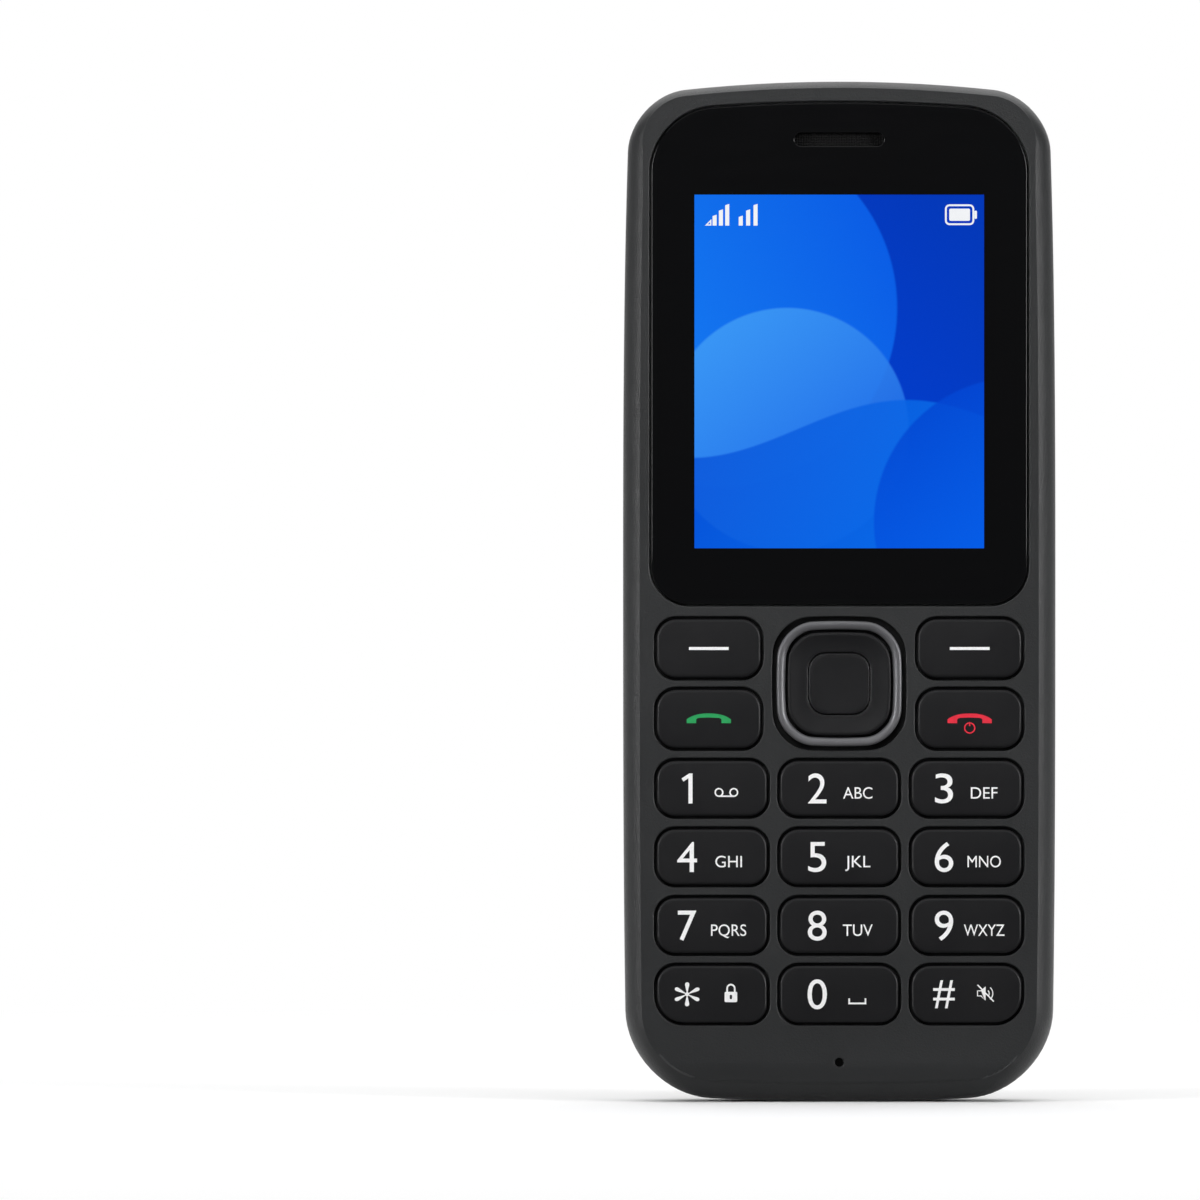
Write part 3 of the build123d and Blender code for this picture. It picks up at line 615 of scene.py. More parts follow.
def ink(color):
    """Printed lettering, slightly uneven."""
    graph = Graph()
    tone = graph.between(graph.noise(0.35, 3), 0.93, 1.04)
    return graph.surface(graph.principled(
        Base_Color=graph.tinted(color, tone), Roughness=graph.between(graph.noise(0.6), 0.45, 0.6)))


def screen_picture():
    """The lit display: overlapping soft discs and a swell of blues, in the panel's own plane."""
    graph = Graph()
    parts = graph.axes()
    across = graph.math("DIVIDE", parts["X"], ACTIVE_WIDTH * MM)
    up = graph.math("DIVIDE", graph.math("SUBTRACT", parts["Z"], ACTIVE_Z * MM), ACTIVE_WIDTH * MM)

    def inside(x, z, radius, edge=0.004):
        gap_x = graph.math("SUBTRACT", across, x)
        gap_z = graph.math("SUBTRACT", up, z)
        distance = graph.math("SQRT", graph.math("ADD", graph.math("MULTIPLY", gap_x, gap_x),
                                                 graph.math("MULTIPLY", gap_z, gap_z)))
        return graph.between(distance, 1, 0, radius - edge, radius + edge)

    def slope(x, z, start, end):
        """A share that grows along a direction."""
        reach = graph.math("ADD", graph.math("MULTIPLY", across, x), graph.math("MULTIPLY", up, z))
        return graph.between(reach, 0, 1, start, end)

    color = graph.mixed(slope(0.5, 0.6, -0.5, 0.55), shade(0, 66, 222), shade(2, 58, 190))
    swell = graph.math("SINE", graph.math("ADD", graph.math("MULTIPLY", across, 4.2), 0.6))
    height = graph.math("SUBTRACT", up, graph.math("MULTIPLY", swell, 0.1))
    low_band = graph.between(height, 1, 0, -0.202, -0.194)
    discs = (
        (inside(-0.42, 0.22, 0.62), slope(-0.6, -0.3, -0.3, 0.5), shade(8, 96, 240), shade(24, 136, 255)),
        (inside(-0.18, -0.2, 0.42), slope(-0.5, 0.7, -0.5, 0.4), shade(6, 86, 232), shade(66, 164, 255)),
        (low_band, slope(0.6, -0.4, -0.4, 0.7), shade(2, 74, 216), shade(12, 124, 250)),
        (inside(0.62, -0.52, 0.5), slope(0.4, -0.6, 0.0, 0.7), shade(0, 60, 204), shade(4, 98, 244)),
    )
    for mask, share, start, end in discs:
        tone = graph.mixed(share, start, end)
        color = graph.mixed(graph.math("MULTIPLY", mask, 0.86), color, tone)
    glow = graph.add("Emission", {"Color": color, "Strength": 1.0})
    return graph.surface(glow.outputs[0])


def lit(color):
    """A glowing sign on the display, slightly uneven."""
    graph = Graph()
    tone = graph.between(graph.noise(1.5), 0.97, 1.0)
    glow = graph.add("Emission", {"Color": graph.tinted(color, tone), "Strength": 1.0})
    return graph.surface(glow.outputs[0])


def window_glass():
    """Black-backed glass, clear over the lit area, with a faint haze of fine scratches."""
    graph = Graph()
    parts = graph.axes()
    off_x = graph.math("ABSOLUTE", parts["X"])
    off_z = graph.math("ABSOLUTE", graph.math("SUBTRACT", parts["Z"], ACTIVE_Z * MM))
    inside_x = graph.math("LESS_THAN", off_x, ACTIVE_WIDTH / 2 * MM)
    inside_z = graph.math("LESS_THAN", off_z, ACTIVE_HEIGHT / 2 * MM)
    clear = graph.math("MULTIPLY", inside_x, inside_z)
    haze = graph.noise(5, 4, graph.stretched((1, 1, 3)))
    rough = graph.between(haze, 0.05, 0.1)
    black = graph.principled(Base_Color=(0.0035, 0.0036, 0.004, 1), Roughness=rough,
                             Specular_IOR_Level=0.28)
    see = graph.add("BsdfTransparent", {"Color": (0.98, 0.98, 0.98, 1)}).outputs[0]
    gloss = graph.add("BsdfGlossy", {"Color": (1, 1, 1, 1), "Roughness": rough}).outputs[0]
    pane = graph.add("MixShader", {0: 0.012, 1: see, 2: gloss}).outputs[0]
    return graph.surface(graph.add("MixShader", {0: clear, 1: black, 2: pane}).outputs[0])


def clear_lens():
    """Clear moulded plastic with a slight ripple."""
    graph = Graph()
    see = graph.add("BsdfTransparent", {"Color": (0.93, 0.94, 0.95, 1)}).outputs[0]
    gloss = graph.add("BsdfGlossy", {"Color": (1, 1, 1, 1), "Roughness": 0.08,
                                     "Normal": graph.bump(graph.noise(0.9, 2), 0.003)}).outputs[0]
    edge = graph.add("Fresnel", {"IOR": 1.5}).outputs[0]
    return graph.surface(graph.add("MixShader", {0: edge, 1: see, 2: gloss}).outputs[0])


MATERIALS = {
    "housing_plastic": moulded(shade(38, 39, 40), 0.4, grain=0.2, depth=0.05, mottle=0.05, gloss=0.4),
    "cover_plastic": leathery(shade(38, 39, 41), 0.5),
    "key_plastic": moulded(shade(19, 19, 21), 0.42, grain=0.12, depth=0.01, mottle=0.05, gloss=0.3),
    "window_glass": window_glass(),
    "adhesive": moulded(shade(12, 12, 12), 0.8),
    # The earpiece mesh's near-black colour is partly its own dark finish and partly painted shade inside
    # the earpiece slot
    "mesh_metal": woven(shade(9, 9, 10)),
    "foam": moulded(shade(26, 26, 26), 0.95, grain=0.3, depth=0.08),
    "display_glass": screen_picture(),
    "frame_plastic": moulded(shade(214, 214, 210), 0.55),
    "flex_film": moulded(shade(196, 128, 48), 0.3, depth=0.004),
    "ring_metal": metal(shade(104, 104, 107), 0.42, (1, 1, 1), 0.2, share=0.4),
    "silicone": moulded(shade(30, 30, 32), 0.7),
    "dome_film": moulded(shade(206, 206, 200), 0.25, depth=0.004),
    "board_laminate": printed_board(),
    "socket_plastic": moulded(shade(20, 20, 21), 0.55),
    "plated_steel": metal(shade(190, 190, 188), 0.34),
    "speaker_shell": moulded(shade(32, 32, 32), 0.5),
    "dense_metal": metal(shade(118, 118, 122), 0.5, (1, 1, 1), 0.15, 0.02),
    "lens_plastic": clear_lens(),
    # The torch's LED glows: this is painted light that makes its yellow phosphor bright where little light
    # reaches into the torch's cup
    "led_body": moulded(shade(250, 246, 120), 0.4, grain=0.1, depth=0.005, glow=0.9),
    "chassis_plastic": moulded(shade(34, 34, 36), 0.6, grain=0.22, depth=0.03),
    "screw_steel": metal(shade(96, 96, 100), 0.4, (1, 1, 1), 0.2),
    "contact_block": metal(shade(214, 178, 96), 0.32),
    "battery_wrap": moulded(shade(92, 96, 102), 0.42, grain=0.5, depth=0.02),
    "antenna_metal": metal(shade(206, 160, 92), 0.36),
    "white_ink": ink(shade(248, 248, 248)),
    "green_ink": ink(shade(28, 158, 86)),
    "red_ink": ink(shade(226, 34, 58)),
    "screen_white": lit(shade(250, 252, 255)),
    "reflector": metal(shade(246, 246, 242), 0.4, (1, 1, 1), 0.25, 0.01, 0.25),
}
for name, material in MATERIALS.items():
    material.name = name

SLOTS = {entry["node"]: entry["material_slot"] for entry in frame["record"]["subparts"]}
for node, piece in frame["nodes"].items():
    piece.data.materials.clear()
    piece.data.materials.append(MATERIALS[SLOTS[node]])


def dress(piece, body, slot, *nodes):
    """Lets a piece ride on a body and stand for CAD nodes, which it hides. Its slot is not used."""
    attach(piece, body)
    if nodes:
        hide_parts(*nodes)
    return piece


def socket_cutter(name, outline):
    """A closed bar through the top end with an outline of x and level."""
    rings = [[(x, z, level) for x, level in outline]
             for z in (BODY_HEIGHT - SOCKET_DEPTH, BODY_HEIGHT + CUT_PAST)]
    return loft(name, rings, "housing_plastic")


def port_cutters():
    """The rooms round the charging socket and the headphone socket at the top end."""
    port = moved(rounded_outline(PORT_WIDTH, PORT_HEIGHT, (PORT_RADIUS,) * 4), 0, PORT_LEVEL)
    jack_x = middle("headphone_jack")[0]
    jack = moved(slot_outline(JACK_WIDTH, JACK_WIDTH), jack_x, sum(levels("headphone_jack")) / 2)
    return [socket_cutter("port_cutter", port), socket_cutter("jack_cutter", jack)]


def key_shapes():
    """Every push key's node, middle, width, height and corner radii, from its CAD node."""
    shapes = []
    for node in SLOTS:
        if not node.startswith(("key_", "soft_key_")) and node not in ("call_key", "end_key"):
            continue
        width, height = (length - 2 * KEY_REACH for length in size_of(node))
        radii = [KEY_CORNER_SHARE * height] * 4
        if node == "key_hash":
            radii[0] = KEY_OUTER_SHARE * height
        if node == "key_star":
            radii[3] = KEY_OUTER_SHARE * height
        shapes.append((node, *middle(node), width, height, radii))
    return shapes


def cap_outline(width, height, radii, reach=0, trim=0):
    """A key cap's outline, grown by a reach, or shrunk where that is negative."""
    corners = [max(radius + reach - trim, LEAST_CORNER) for radius in radii]
    return rounded_outline(width + 2 * reach, height + 2 * reach, corners)


def front_housing():
    """The front shell: a rounded band round the sides, and the face plate with its openings."""
    def low_edge(x, z):
        return PART_LINE - (PART_LINE - RIM_LEVEL) * smooth_step(abs(x), *RIM_DROP)

    def trimmed(level):
        """The level of the rolled edge, or that of the chin where it is lower."""
        return lambda x, z: min(level, FACE_LEVEL + FACE_OVERLAP - chin_drop(z))

    def under_face(x, z):
        return FACE_LEVEL - HOUSING_WALL - chin_drop(z)

    def rear_inset(level):
        return REAR_RADIUS - sqrt(REAR_RADIUS ** 2 - max(0, REAR_RADIUS - level) ** 2)

    rings = [ring(body_outline(rear_inset(RIM_LEVEL)), low_edge)]
    rings += [ring(body_outline(rear_inset(level)), level) for level in SIDE_LEVELS]
    for step in range(ROLL_STEPS):
        angle = FACE_ANGLE * step / ROLL_STEPS
        inset = FACE_RADIUS * (1 - cos(angle))
        rings.append(ring(face_outline(inset), trimmed(FACE_CENTER + FACE_RADIUS * sin(angle))))
    foot = trimmed(FACE_LEVEL + FACE_OVERLAP)
    border = face_outline(FACE_INSET + FACE_BORDER)
    rings += [ring(face_outline(FACE_INSET), foot), ring(border, foot), ring(border, under_face)]
    inside = ((FACE_INSET + FACE_WALL, under_face), (HOUSING_WALL, FACE_CENTER),
              (HOUSING_WALL, PART_LINE), (RIM_WIDTH, PART_LINE), (RIM_WIDTH, low_edge))
    rings += [ring(body_outline(inset), level) for inset, level in inside]
    finish = "housing_plastic"
    band = cut(loft("housing_band", rings, finish, closed=True), port_cutters(), finish)

    holes = [window_outline(WINDOW_GAP)]
    holes += [moved(cap_outline(*cap, KEY_GAP), x, z) for _, x, z, *cap in key_shapes()]
    holes.append(moved(squircle(NAV_OPENING, NAV_RADIUS), *middle("nav_ring")))
    holes.append(moved(slot_outline(2 * MIC_RADIUS, 2 * MIC_RADIUS, MIC_STEPS), *middle("microphone")))
    face = plate_mesh("housing_face", [face_outline(FACE_INSET + PLATE_BORDER)] + holes,
                      FACE_LEVEL - HOUSING_WALL, FACE_LEVEL, EDGE_BEVEL)
    bm = bmesh.new()
    bm.from_mesh(face)
    bmesh.ops.remove_doubles(bm, verts=bm.verts, dist=WELD)
    for step in range(1, CHIN_STEPS + 1):
        geometry = bm.verts[:] + bm.edges[:] + bm.faces[:]
        height = CHIN_REACH * step / CHIN_STEPS * MM
        bmesh.ops.bisect_plane(bm, geom=geometry, plane_co=(0, 0, height), plane_no=(0, 0, 1))
    for vertex in bm.verts:
        vertex.co.y += chin_drop(vertex.co.z / MM) * MM
    bm.to_mesh(face)
    bm.free()
    joined = merged(evaluated_mesh(band), face)
    bpy.data.objects.remove(band)
    return finish_mesh("housing_shell", joined, finish)


def back_cover():
    """The back shell with its wide rounding, torch hole, ports and pry notch."""
    def outer(inset):
        return body_outline(inset, COVER_SIDE_INSET * (1 - inset / (2 * REAR_RADIUS)))

    low_angle = acos((REAR_RADIUS - COVER_FRONT) / REAR_RADIUS)
    rings = [ring(outer(inset), level) for inset, level in COVER_INSIDE]
    for step in range(COVER_STEPS + 1):
        angle = low_angle * (1 - step / COVER_STEPS)
        inset = REAR_RADIUS * (1 - sin(angle))
        rings.append(ring(outer(inset), REAR_RADIUS * (1 - cos(angle))))
    shell = loft("cover_shell", rings, "cover_plastic")
    hole = slot_outline(2 * TORCH_HOLE_RADIUS, 2 * TORCH_HOLE_RADIUS)
    rings = [ring(moved(scaled(hole, growth), *middle("torch_lens")), level) for growth, level in TORCH_CUT]
    torch = loft("torch_cutter", rings, "cover_plastic")
    notch = rounded_outline(NOTCH_WIDTH, 2 * NOTCH_DEPTH, (NOTCH_RADIUS,) * 4)
    rings = [ring(notch, level) for level in (NOTCH_LOW, NOTCH_HIGH)]
    opener = loft("notch_cutter", rings, "housing_plastic")
    return cut(shell, port_cutters() + [torch, opener], "cover_plastic")


def push_key(node, x, z, *cap):
    """A key cap with a soft edge, a faintly crowned top, and the flange that keeps it in."""
    outline = cap_outline(*cap)
    flange = cap_outline(*cap, KEY_REACH, FLANGE_TRIM)
    flange_high = FACE_LEVEL - FLANGE_DROP
    high = levels(node)[1] - KEY_CROWN
    rings = [ring(flange, flange_high - FLANGE_THICKNESS), ring(flange, flange_high),
             ring(outline, flange_high), ring(outline, high - KEY_BEVEL - BEVEL_FOOT)]
    for step in range(BEVEL_STEPS + 1):
        angle = pi / 2 * step / BEVEL_STEPS
        shrunk = cap_outline(*cap, -KEY_BEVEL * (1 - cos(angle)))
        rings.append(ring(shrunk, high - KEY_BEVEL * (1 - sin(angle))))
    inner = cap_outline(*cap, -KEY_BEVEL)
    rings += [ring(scaled(inner, factor), high + KEY_CROWN * (1 - factor ** 2)) for factor in CROWN_RINGS]
    return loft(f"cap_{node}", shifted(rings, x, z), "key_plastic")


def nav_rocker():
    """The four-way key: a dished pad round a square hole, on its wider base plate."""
    high = levels("nav_rocker")[1]
    base_low = FACE_LEVEL - NAV_BASE_DROP
    base_high = base_low + NAV_BASE_THICKNESS
    base = squircle(size_of("nav_rocker")[0], NAV_RADIUS)
    pad = squircle(NAV_PAD_WIDTH, NAV_RADIUS - NAV_BAND)
    rim = squircle(NAV_RIM_WIDTH, NAV_RADIUS - NAV_BAND - NAV_RIM_TRIM)
    hole_width = SELECT_WIDTH + 2 * SELECT_GAP
    hole = rounded_outline(hole_width, hole_width, (SELECT_RADIUS + SELECT_GAP,) * 4, side_steps=SIDE_STEPS)
    rings = [ring(base, base_low), ring(base, base_high), ring(pad, base_high)]
    rings += [ring(blended(pad, rim, share), high - drop) for share, drop in NAV_EDGE]
    for share in NAV_DISH_RINGS:
        rings.append(ring(blended(rim, hole, share), high - NAV_DISH * sin(share * pi / 2)))
    rings += [ring(hole, high - NAV_DISH - NAV_DISH_FOOT), ring(hole, base_low)]
    return loft("nav_pad", shifted(rings, *middle("nav_rocker")), "key_plastic", closed=True)


def nav_ring():
    """The metal trim round the four-way key's pad."""
    low, high = levels("nav_ring")
    width = size_of("nav_ring")[0]
    outer = squircle(width, NAV_RADIUS)
    inner = squircle(width - 2 * NAV_BAND, NAV_RADIUS - NAV_BAND)
    rings = [ring(blended(outer, inner, share), high - drop) for share, drop in RING_TOP]
    rings = [ring(outer, low), *rings, ring(inner, low)]
    return loft("nav_trim", shifted(rings, *middle("nav_ring")), "ring_metal", closed=True)


def select_key():
    """The button in the middle of the four-way key, with a shallow dish."""
    high = levels("select_key")[1] - SELECT_DROP
    outline = rounded_outline(SELECT_WIDTH, SELECT_WIDTH, (SELECT_RADIUS,) * 4)
    rings = [ring(outline, FACE_LEVEL - SELECT_DEPTH)]
    rings += [ring(scaled(outline, factor), high - drop) for factor, drop in SELECT_EDGE]
    for factor in SELECT_RINGS:
        rings.append(ring(scaled(outline, factor), high - SELECT_DISH * (1 - factor ** 2)))
    return loft("select_cap", shifted(rings, *middle("select_key")), "key_plastic")


dress(front_housing(), "housing", "housing_plastic", "front_housing")
dress(back_cover(), "cover", "cover_plastic", "back_cover")
for node, *cap in key_shapes():
    dress(push_key(node, *cap), f"{node}_body", "key_plastic", node)
dress(nav_rocker(), "nav_rocker_body", "key_plastic", "nav_rocker")
dress(nav_ring(), "nav_rocker_body", "ring_metal", "nav_ring")
dress(select_key(), "select_key_body", "key_plastic", "select_key")

slot_hole = moved(slot_outline(SLOT_WIDTH, SLOT_HEIGHT), 0, SLOT_Z)
pane = plate_mesh("window_pane", [window_outline(), slot_hole], *levels("display_window"), WINDOW_BEVEL)
dress(finish_mesh("window_pane", pane, "window_glass"), "housing", "window_glass", "display_window")

view = rounded_outline(ACTIVE_WIDTH + 2 * LEDGE_BORDER, ACTIVE_HEIGHT + 2 * LEDGE_BORDER,
                       (LEDGE_RADIUS,) * 4)
ledge_high = levels("window_adhesive")[0]
ledge = plate_mesh("window_ledge", [window_outline(LEDGE_REACH), moved(view, 0, ACTIVE_Z), slot_hole],
                   ledge_high - LEDGE_THICKNESS, ledge_high, LEDGE_BEVEL)
dress(finish_mesh("window_ledge", ledge, "housing_plastic"), "housing", "housing_plastic")

# A dark plug a little way down the microphone hole: painted shade that keeps the hole black
foam = moved(slot_outline(SHADE_PLUG_WIDTH, SHADE_PLUG_WIDTH, SHADE_PLUG_STEPS), *middle("microphone"))
foam = [ring(foam, FACE_LEVEL - depth) for depth in (HOUSING_WALL, SHADE_PLUG_DROP)]
dress(loft("microphone_foam", foam, "foam"), "housing", "foam")

# Legends and signs, drawn as thin flat shapes
LEGEND_THICKNESS = 0.02
LEGEND_SINK = 0.004
LEGEND_WELD = MM / 100
DIGIT_HEIGHT = 3.33
SIGN_HEIGHTS = {"*": 2.66, "#": 3.1}
LETTER_HEIGHT = 1.26
COLUMN_PITCH = 14.1
DIGIT_OFFSET = {-1: -2.75, 0: -2.44, 1: -2.5}
LETTER_OFFSET = {-1: 1.85, 0: 2.05, 1: 1.95}
LETTER_DROP = 0.5
STROKE = 0.19
HANDSET_RISE = 0.05
STATUS_LIFT = 0.01


def ribbon(points, width, closed=False):
    """The outline of a stroke along points; its width is a number or one number for each point."""
    count = len(points)
    widths = width if isinstance(width, (list, tuple)) else [width] * count
    left, right = [], []
    for step, (x, z) in enumerate(points):
        before = points[step - 1] if step or closed else points[0]
        after = points[(step + 1) % count] if step < count - 1 or closed else points[-1]
        dx, dz = after[0] - before[0], after[1] - before[1]
        length = hypot(dx, dz)
        nx, nz = -dz / length * widths[step] / 2, dx / length * widths[step] / 2
        left.append((x + nx, z + nz))
        right.append((x - nx, z - nz))
    return [left, right] if closed else [left + right[::-1]]


def arc(x, z, radius, start, end, steps=20):
    return [
        (x + radius * cos(radians(start + (end - start) * step / steps)),
         z + radius * sin(radians(start + (end - start) * step / steps)))
        for step in range(steps + 1)
    ]


def text_mesh(text):
    curve = bpy.data.curves.new(text, "FONT")
    curve.body = text
    curve.resolution_u = 6
    return curve_mesh(curve)


def sized_text(text, height, width):
    """A text's flat mesh, centred on the origin, with a height of its capitals and a width."""
    mesh = text_mesh(text)
    xs = [vertex.co.x for vertex in mesh.vertices]
    ys = [vertex.co.y for vertex in mesh.vertices]
    tall = [vertex.co.y for vertex in text_mesh("H").vertices] if text.isalpha() else ys
    center = Vector(((max(xs) + min(xs)) / 2, (max(tall) + min(tall)) / 2, 0))
    sizes = Matrix.Diagonal((width / (max(xs) - min(xs)), height / (max(tall) - min(tall)), 1, 1))
    mesh.transform(sizes @ Matrix.Translation(-center))
    return mesh


def sign_mesh(name, groups):
    """A flat mesh of filled outlines: in each group the later outlines may be holes."""
    bm = bmesh.new()
    for outlines in groups:
        bm.from_mesh(filled_mesh(name, outlines))
    return new_mesh(name, bm)


def print_on(name, mesh, x, z, level, finish, body, slot):
    """Sets a flat mesh on a level of the phone and gives it a thin body."""
    bm = bmesh.new()
    bm.from_mesh(mesh)
    bmesh.ops.remove_doubles(bm, verts=bm.verts, dist=LEGEND_WELD)
    grown = bmesh.ops.extrude_face_region(bm, geom=bm.faces[:])
    raised = {item for item in grown["geom"] if isinstance(item, bmesh.types.BMVert)}
    for vertex in bm.verts:
        lift = LEGEND_THICKNESS if vertex in raised else 0
        px, pz = vertex.co.x, vertex.co.y
        base = level(px, pz) if callable(level) else level
        vertex.co = place(px + x, pz + z, base + lift)
    bmesh.ops.recalc_face_normals(bm, faces=bm.faces)
    bm.to_mesh(mesh)
    bm.free()
    return dress(finish_mesh(name, mesh, finish), body, slot)


def cap_level(node):
    """The level of a key's crowned top at a point measured from its middle."""
    high = levels(node)[1]
    half_width, half_height = (length / 2 - KEY_REACH for length in size_of(node))

    def level(x, z):
        share = min(1, max(abs(x) / half_width, abs(z) / half_height))
        return high - KEY_CROWN * share ** 2 - LEGEND_SINK
    return level


def print_on_key(name, node, mesh, x=0, z=0):
    """Prints a white sign on a key's crowned top, at a place measured from the key's middle."""
    key_x, key_z = middle(node)
    level = cap_level(node)
    print_on(name, mesh, key_x + x, key_z + z, lambda px, pz: level(px + x, pz + z), "white_ink",
             f"{node}_body", "key_plastic")


def handset(half=2.45):
    """A lowered handset: a shallow arch with thick ear pieces that end flat."""
    upper = [(-half, -0.1)] + [
        (half * (step / 10 - 1), 0.55 - 0.62 * abs(step / 10 - 1) ** 2.6) for step in range(1, 20)
    ] + [(half, -0.1)]
    lower = [(half, -0.52), (half - 1.05, -0.52), (half - 1.05, -0.12), (half - 1.15, 0.0),
             (half - 1.35, 0.06), (0, 0.1), (1.35 - half, 0.06), (1.15 - half, 0.0), (1.05 - half, -0.12),
             (1.05 - half, -0.52), (-half, -0.52)]
    return [upper + lower]


# Every number key's digit and letters, and their widths
LEGENDS = {
    "key_1": ("1", 1.25, "", 0), "key_2": ("2", 2.05, "ABC", 3.25), "key_3": ("3", 2.0, "DEF", 2.95),
    "key_4": ("4", 2.2, "GHI", 2.95), "key_5": ("5", 2.0, "JKL", 2.8), "key_6": ("6", 2.05, "MNO", 3.7),
    "key_7": ("7", 2.05, "PQRS", 3.9), "key_8": ("8", 2.1, "TUV", 3.3), "key_9": ("9", 2.05, "WXYZ", 4.5),
    "key_star": ("*", 2.75, "", 0), "key_0": ("0", 2.15, "", 0), "key_hash": ("#", 2.4, "", 0),
}


def tape_signs():
    """Two reels joined by a line."""
    return [ribbon(arc(side * 0.82, 0.06, 0.42, 0, 342, 19), STROKE * 0.85, True) for side in (-1, 1)] + [
        ribbon([(-0.82, -0.36), (0.82, -0.36)], STROKE * 0.85)]


def lock_signs():
    body = rounded_outline(1.4, 1.15, (0.15,) * 4, 4)
    keyhole = rounded_outline(0.26, 0.5, (0.12,) * 4, 4)
    shackle = [(-0.42, 0.1)] + arc(0, 0.55, 0.42, 180, 0, 10) + [(0.42, 0.1)]
    return [[moved(body, 0, -0.4), moved(keyhole, 0, -0.4)], ribbon(shackle, STROKE)]


def space_signs():
    return [ribbon([(-0.9, 0.3), (-0.9, -0.2)], STROKE), ribbon([(-1, -0.26), (1, -0.26)], STROKE),
            ribbon([(0.9, 0.3), (0.9, -0.2)], STROKE)]


def mute_signs():
    """A speaker with two sound lines, struck through."""
    horn = [(-0.95, 0.28), (-0.55, 0.28), (-0.1, 0.75), (-0.1, -0.75), (-0.55, -0.28), (-0.95, -0.28)]
    return [ribbon(horn, STROKE * 0.6, True), ribbon(arc(-0.1, 0, 0.45, -45, 45, 8), STROKE * 0.6),
            ribbon(arc(-0.1, 0, 0.85, -50, 50, 10), STROKE * 0.6),
            ribbon([(-0.95, 0.95), (0.85, -0.9)], STROKE * 0.75)]


ICONS = {
    "key_1": (tape_signs, 1.6, -0.5), "key_star": (lock_signs, 2.1, 0.1),
    "key_0": (space_signs, 2.0, -0.75), "key_hash": (mute_signs, 2.16, 0.1),
}
FIGURE_ONE = [[(0.14, -1.665), (0.6, -1.665), (0.6, 1.665), (0.24, 1.665), (-0.62, 1.1), (-0.4, 0.76),
               (0.14, 1.12)]]
for node, (digit, width, letters, letters_width) in LEGENDS.items():
    column = round(middle(node)[0] / COLUMN_PITCH)
    if digit == "1":
        figure = sign_mesh(digit, [FIGURE_ONE])
    else:
        figure = sized_text(digit, SIGN_HEIGHTS.get(digit, DIGIT_HEIGHT), width)
    print_on_key(f"legend_{node}_1", node, figure, DIGIT_OFFSET[column])
    if letters:
        group = sized_text(letters, LETTER_HEIGHT, letters_width)
        print_on_key(f"legend_{node}_{len(letters)}", node, group, LETTER_OFFSET[column], -LETTER_DROP)
for node, (draw, x, z) in ICONS.items():
    print_on_key(f"icon_{node}", node, sign_mesh("icon", draw()), x, z)
for node in ("soft_key_left", "soft_key_right"):
    print_on_key(f"dash_{node}", node, sign_mesh("dash", [ribbon([(-2.2, 0), (2.2, 0)], 0.33)]))
power = [ribbon(arc(0, -1.05, 0.56, 0, 342, 19), 0.14, True), ribbon([(0, -0.85), (0, -0.4)], 0.14)]
for node, color, signs in (("call_key", "green_ink", []), ("end_key", "red_ink", power)):
    key_x, key_z = middle(node)
    print_on(f"handset_{node}", sign_mesh("handset", [handset()] + signs), key_x, key_z + HANDSET_RISE,
             cap_level(node), color, f"{node}_body", "key_plastic")


def status_signs():
    """Two sets of signal bars and a battery, placed from the middle of the lit area."""
    top = ACTIVE_HEIGHT / 2
    left = -ACTIVE_WIDTH / 2
    low = top - 3.4
    groups = []
    corner = left + 1.15
    groups.append([[(corner, low), (corner + 0.72, low), (corner + 0.72, low + 0.72)],
                   [(corner + 0.3, low + 0.13), (corner + 0.58, low + 0.13), (corner + 0.58, low + 0.4)]])
    for start, pitch, bars in ((left + 2.0, 0.7, (1.2, 1.8, 2.4)), (left + 4.9, 0.82, (1.1, 1.8, 2.4))):
        for step, height in enumerate(bars):
            x = start + step * pitch
            groups.append([[(x, low), (x + 0.45, low), (x + 0.45, low + height), (x, low + height - 0.15)]])
    x = ACTIVE_WIDTH / 2 - 2.7
    z = top - 2.2
    groups.append(ribbon(moved(rounded_outline(3.05, 2.1, (0.4,) * 4, 4), x, z), 0.2, True))
    groups.append([moved(rounded_outline(2.3, 1.35, (0.15,) * 4, 4), x, z)])
    groups.append([moved(rounded_outline(0.28, 0.9, (0.1,) * 4, 4), x + 1.78, z)])
    return groups


print_on("status_signs", sign_mesh("signs", status_signs()), 0, ACTIVE_Z,
         levels("display_panel")[1] + STATUS_LIFT, "screen_white", "housing", "display_glass")


def torch_reflector():
    """The bright cup round the light, which turns from a circle into a square."""
    circle, square = [], []
    for step in range(CUP_STEPS):
        angle = 2 * pi * step / CUP_STEPS
        way_x, way_z = cos(angle), sin(angle)
        circle.append((CUP_RADIUS * way_x, CUP_RADIUS * way_z))
        reach = CUP_SQUARE / max(abs(way_x), abs(way_z))
        square.append((reach * way_x, reach * way_z))
    rings = [ring(blended(circle, square, share), CUP_LEVEL + CUP_DEPTH * share) for share in CUP_RINGS]
    rings = shifted(rings, *middle("torch_led"))
    return loft("torch_reflector", rings, "reflector", first_cap=False, last_cap=False)


dress(torch_reflector(), "housing", "plated_steel")

# Floor, light and camera, in metres
FRAME_WIDTH = 1200
PIXELS_PER_MM = 9.008
PHONE_CENTER_PIXEL = (839.25, 591.6)
CAMERA_DISTANCE = 1.6
OUTLINE_DEPTH = 0.0035
SENSOR = 36
CLIP_END = 10
FLOOR_CORNERS = ((-1.5, -1.2, 0), (1.5, -1.2, 0), (1.5, 0.6, 0), (-1.5, 0.6, 0))
FLOOR_DARK = (0.12, 0.12, 0.12, 1)
FLOOR_WHITE = (0.99, 0.99, 0.99, 1)
# The depths over which the floor turns white in gloss, the distances over which it fades into white light,
# and the depth of a direction from which on the world turns white in gloss
FLOOR_SHINE = (-0.02, 0.0)
FLOOR_FADE = (0.12, 0.35)
WORLD_SHINE = 0.6


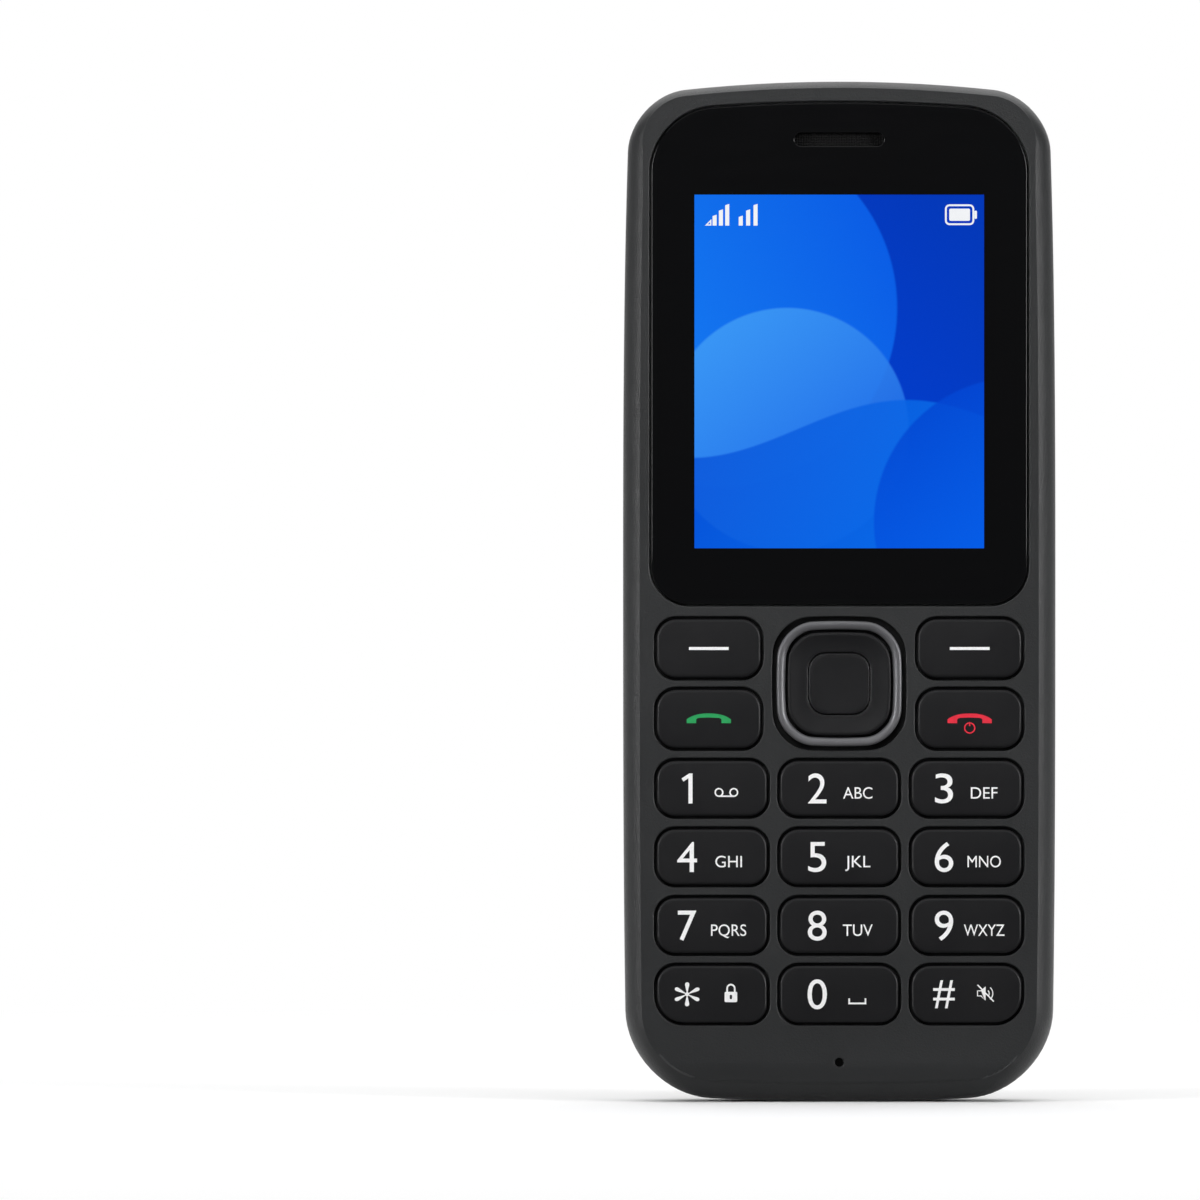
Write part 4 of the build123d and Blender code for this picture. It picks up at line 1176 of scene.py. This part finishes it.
def stage_floor():
    """A pale floor that keeps the phone's shadow and turns into the white background farther off."""
    graph = Graph("pale_floor")
    tone = graph.between(graph.noise(60, 2), 0.995, 1.0)
    paths = graph.add("LightPath").outputs
    depth = graph.axes()["Y"]
    shine = graph.math("MULTIPLY", paths["Is Glossy Ray"], graph.between(depth, 0, 1, *FLOOR_SHINE))
    seen = graph.math("MAXIMUM", graph.math("MAXIMUM", paths["Is Camera Ray"], shine),
                      paths["Is Transmission Ray"])
    color = graph.tinted(graph.mixed(seen, FLOOR_DARK, FLOOR_WHITE), tone)
    ground = graph.principled(Base_Color=color, Roughness=0.9, Specular_IOR_Level=0.0)
    away = graph.add("VectorMath", {0: graph.coordinates()}, operation="LENGTH").outputs["Value"]
    far = graph.math("MULTIPLY", graph.between(away, 0, 1, *FLOOR_FADE), seen)
    glow = graph.add("Emission", {"Strength": 1.0}).outputs[0]
    MATERIALS["pale_floor"] = graph.surface(graph.add("MixShader", {0: far, 1: ground, 2: glow}).outputs[0])
    bm = bmesh.new()
    bm.faces.new([bm.verts.new(point) for point in FLOOR_CORNERS])
    finish_mesh("floor", new_mesh("floor", bm), "pale_floor")


def softbox(name, spot, target, size, power, spread=180):
    """A rectangular lamp at a spot, turned towards a target."""
    light = bpy.data.lights.new(name, "AREA")
    light.spread = radians(spread)
    light.shape = "RECTANGLE"
    light.size, light.size_y = size
    light.energy = power
    lamp = bpy.data.objects.new(name, light)
    lamp.location = spot
    lamp.rotation_euler = (Vector(target) - Vector(spot)).to_track_quat("-Z", "Y").to_euler()
    bpy.context.scene.collection.objects.link(lamp)


def studio_world(front, rear):
    """White to the camera and through clear pieces. It is dim in front of the phone and brighter behind
    it, where gloss shows it white too."""
    world = bpy.data.worlds.new("studio")
    graph = Graph("studio", world)
    paths = graph.add("LightPath").outputs
    way = graph.add("TexCoord").outputs["Generated"]
    depth = graph.add("SeparateXYZ", {0: way}).outputs["Y"]
    behind = graph.math("MAXIMUM", paths["Is Glossy Ray"], rear)
    light = graph.between(depth, front, behind, WORLD_SHINE, 1)
    seen = graph.math("MAXIMUM", paths["Is Camera Ray"], paths["Is Transmission Ray"])
    amount = graph.add("Mix", {"Factor": seen, "A": light, "B": 1.0}).outputs["Result"]
    graph.surface(graph.add("Background", {"Color": (1, 1, 1, 1), "Strength": amount}).outputs[0])
    bpy.context.scene.world = world


def photo_camera():
    """A long lens square to the face, shifted so that the phone stands right of the middle."""
    view_width = FRAME_WIDTH / PIXELS_PER_MM * MM
    camera = bpy.data.cameras.new("camera")
    camera.sensor_width = SENSOR
    camera.lens = SENSOR * (CAMERA_DISTANCE + OUTLINE_DEPTH) / view_width
    x, y = PHONE_CENTER_PIXEL
    camera.shift_x = -(x - FRAME_WIDTH / 2) / FRAME_WIDTH
    camera.shift_y = (y - FRAME_WIDTH / 2) / FRAME_WIDTH
    camera.clip_end = CLIP_END
    rig = bpy.data.objects.new("camera", camera)
    face_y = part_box("front_housing")[0].y
    rig.location = (0, face_y - CAMERA_DISTANCE, BODY_HEIGHT / 2 * MM)
    rig.rotation_euler = (radians(90), 0, 0)
    bpy.context.scene.collection.objects.link(rig)
    bpy.context.scene.camera = rig


stage_floor()
softbox("overhead", (0, 0.7, 2.6), (0, 0.7, 0), (6, 6), 160)
softbox("front", (-0.1, -0.75, 0.3), (0, 0, 0.118), (0.2, 0.2), 0.02, 25)
softbox("left", (-0.84, -0.55, 0.4), (0, 0, 0.3), (0.25, 0.7), 0.75, 40)
softbox("right", (0.84, -0.55, 0.4), (0, 0, 0.3), (0.25, 0.7), 0.9, 40)
studio_world(0.03, 0.6)
photo_camera()
bpy.context.scene.view_settings.view_transform = "Standard"
